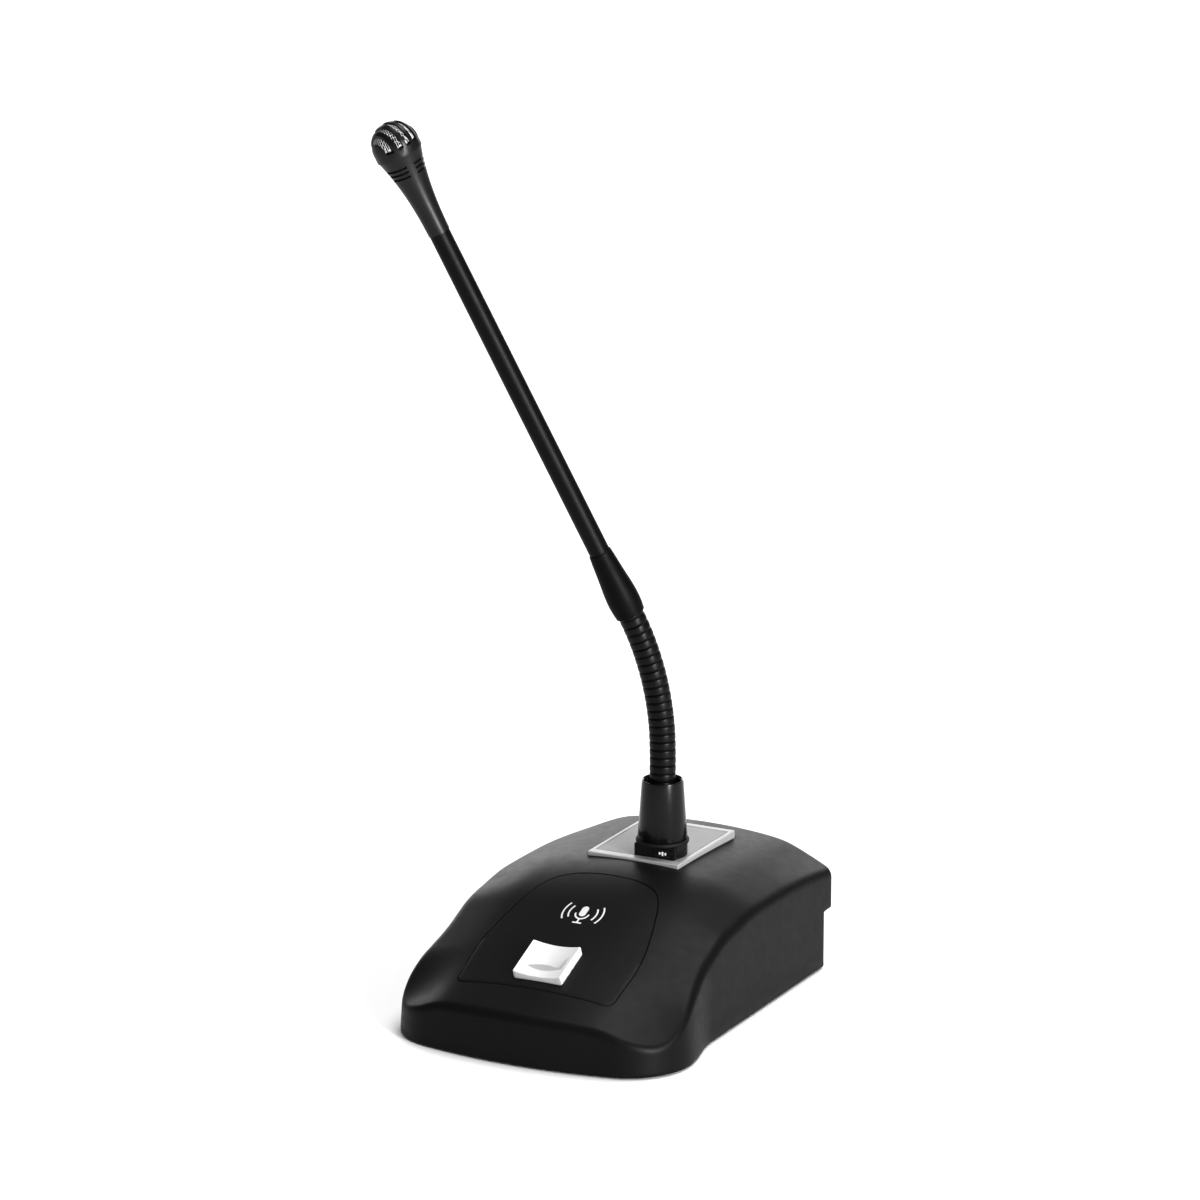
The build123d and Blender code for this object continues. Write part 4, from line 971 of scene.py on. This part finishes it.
def build_shell():
    """Glossy tapered shell with a rounded rim round its open mouth."""
    low, high = corner_mm("plug_shell", 0), corner_mm("plug_shell", 1)
    centre = Vector(((low.x + high.x) / 2, (low.y + high.y) / 2, low.z))
    height = high.z - low.z
    bottom_radius, top_radius, mouth, bore, floor = 10.2, 8.5, 7.4, 5.45, 4.0
    profile = arc((bottom_radius - 0.5, 0.5), 0.5, -90, 0, 4)
    profile += arc((top_radius - 0.3, height - 0.3), 0.3, 0, 90, 4)
    profile += [(mouth + 0.7, height - 0.05), (mouth + 0.05, height - 0.9), (mouth, height - 1.0)]
    profile += [(mouth, floor), (bore, floor), (bore, 0)]
    points, faces = lathe(profile, 96, Matrix.Translation(centre))
    shell = add_piece("plug_cone", points, faces, shell_enamel, sharp=50.0)
    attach(shell, "base")
    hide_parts("plug_shell")


def build_sleeve():
    """Barrel-shaped sleeve with a rolled mouth round the neck."""
    line = [(radius, SLEEVE_START + z) for radius, z in SLEEVE_LINE]
    outer = spline(line + [(TUBE_RADIUS + 0.45, SLEEVE_END - 0.6)], (0.16, 1), (-0.12, 1), 12)
    bore = SPIGOT_RADIUS + 0.02
    profile = [(SLEEVE_MOUTH, SLEEVE_START + 0.1)] + arc((5.6, SLEEVE_START + 0.5), 0.5, -80, -10, 5)
    profile += [tuple(p) for p in outer]
    profile += arc((TUBE_RADIUS + 0.1, SLEEVE_END - 0.35), 0.35, 10, 90, 4)
    profile += [(TUBE_RADIUS, SLEEVE_END - 0.1), (TUBE_RADIUS, TUBE_START), (bore, TUBE_START)]
    profile += [(bore, SPIGOT_START + 0.3), (SLEEVE_MOUTH, SPIGOT_START + 0.1)]
    points, faces = lathe(profile, 72, stem_place)
    sleeve = add_piece("sleeve_barrel", points, faces, sleeve_rubber, sharp=50.0)
    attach(sleeve, "microphone")
    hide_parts("joint_sleeve")


def dome_wire(offset, along_x, radius):
    """Points on the centre line of one woven wire over the dome, and the outward direction there."""
    across = sqrt(radius**2 - offset**2)
    steps = max(6, round(2 * pi * across / MESH_PITCH))
    side = 1 if along_x else -1
    if round(offset / MESH_PITCH) % 2 == 0:
        side = -side
    line = []
    for i in range(steps + 1):
        angle = pi * i / steps
        run, height = -across * cos(angle), across * sin(angle)
        lift = side * MESH_LIFT * cos(pi * run / MESH_PITCH)
        out = Vector((run, offset, height) if along_x else (offset, run, height)).normalized()
        line.append((out * (radius + lift) + Vector((0, 0, DOME_CENTRE)), out))
    return line


def tube_along(line, radius, sides=5):
    """Points and faces of a thin open tube along a line of points with outward directions."""
    points, faces = [], []
    for i, (place, out) in enumerate(line):
        ahead, behind = line[min(i + 1, len(line) - 1)][0], line[max(i - 1, 0)][0]
        aside = (ahead - behind).normalized().cross(out).normalized()
        for j in range(sides):
            turn = 2 * pi * j / sides
            points.append(place + radius * (cos(turn) * aside + sin(turn) * out))
    for i in range(len(line) - 1):
        for j in range(sides):
            k = (j + 1) % sides
            faces.append((i * sides + j, i * sides + k, (i + 1) * sides + k, (i + 1) * sides + j))
    faces.append(tuple(range(sides)))
    faces.append(tuple((len(line) - 1) * sides + j for j in range(sides - 1, -1, -1)))
    return points, faces


def build_mesh():
    """Woven wire dome behind the grille's slots."""
    radius = HEAD_RADIUS - GRILLE_WALL - MESH_GAP
    count = int((radius - MESH_GAP) / MESH_PITCH)
    points, faces = [], []
    for along_x in (True, False):
        for i in range(-count, count + 1):
            more, sides = tube_along(dome_wire(i * MESH_PITCH, along_x, radius), MESH_WIRE)
            faces += [tuple(len(points) + k for k in side) for side in sides]
            points += [stem_place @ p for p in more]
    mesh = add_piece("wire_mesh", points, faces, mesh_metal, sharp=80.0)
    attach(mesh, "microphone")
    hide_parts("grille_mesh")


build_shell()
build_sleeve()
build_mesh()


# ---- floor, light and camera, all in metres ------------------------------------------------------

FLOOR_HALF = 4.0
WORLD_STRENGTH = 0.22
OVERHEAD_STRENGTH = 2.7
OVERHEAD_ANGLE = 42.0
LIGHT_TARGET = (0, -0.04, 0.08)
SIDE_STRIP = {"place": (1.7, -0.85, 0.42), "size": (0.5, 1.2), "power": 70}
BACK_PANEL = {"place": (-1.6, 3.1, 1.0), "size": (4.4, 1.5), "power": 80}
CAMERA_PLACE = (1.13606, -2.27092, 0.87148)
CAMERA_RIGHT = (0.8898, 0.4564, 0.0)
CAMERA_BACK = (0.4393, -0.8567, 0.2704)
PICTURE_GAMMA = 0.78


def build_floor():
    """Plain pale floor under the feet."""
    height = corner_mm("rubber_feet", 0).z * MM
    mesh = bpy.data.meshes.new("floor")
    corners = [(-FLOOR_HALF, -FLOOR_HALF), (FLOOR_HALF, -FLOOR_HALF),
               (FLOOR_HALF, FLOOR_HALF), (-FLOOR_HALF, FLOOR_HALF)]
    mesh.from_pydata([(x, y, height) for x, y in corners], [], [(0, 1, 2, 3)])
    floor = bpy.data.objects.new("floor", mesh)
    floor.data.materials.append(floor_paper)
    bpy.context.scene.collection.objects.link(floor)


def add_light(name, place, size, power):
    """A rectangular lamp that faces the base."""
    lamp = bpy.data.lights.new(name, "AREA")
    lamp.shape = "RECTANGLE"
    lamp.size, lamp.size_y = size
    lamp.energy = power
    light = bpy.data.objects.new(name, lamp)
    light.location = place
    light.rotation_euler = (Vector(LIGHT_TARGET) - Vector(place)).to_track_quat("-Z", "Y").to_euler()
    bpy.context.scene.collection.objects.link(light)


def add_overhead():
    """A broad, high, even light, so that the floor stays as pale far off as near by."""
    lamp = bpy.data.lights.new("overhead", "SUN")
    lamp.energy = OVERHEAD_STRENGTH
    lamp.angle = radians(OVERHEAD_ANGLE)
    light = bpy.data.objects.new("overhead", lamp)
    light.rotation_euler = (radians(-12.0), radians(6.0), 0)
    bpy.context.scene.collection.objects.link(light)


def build_light():
    """Faint even surroundings, the overhead light and two lamps."""
    world = bpy.data.worlds.new("studio")
    world.use_nodes = True
    background = world.node_tree.nodes["Background"]
    background.inputs["Color"].default_value = (1, 1, 1, 1)
    background.inputs["Strength"].default_value = WORLD_STRENGTH
    bpy.context.scene.world = world
    add_overhead()
    add_light("side_strip", **SIDE_STRIP)
    add_light("back_panel", **BACK_PANEL)


def build_camera():
    """Long lens at the photograph's angle."""
    lens = bpy.data.cameras.new("camera")
    lens.lens, lens.sensor_width = 195.0, 36.0
    camera = bpy.data.objects.new("camera", lens)
    right, back = Vector(CAMERA_RIGHT).normalized(), Vector(CAMERA_BACK).normalized()
    up = back.cross(right).normalized()
    place = Matrix((right, up, back)).transposed().to_4x4()
    place.translation = CAMERA_PLACE
    camera.matrix_world = place
    bpy.context.scene.collection.objects.link(camera)
    bpy.context.scene.camera = camera


build_floor()
build_light()
build_camera()
bpy.context.scene.view_settings.view_transform = "Standard"
bpy.context.scene.view_settings.gamma = PICTURE_GAMMA
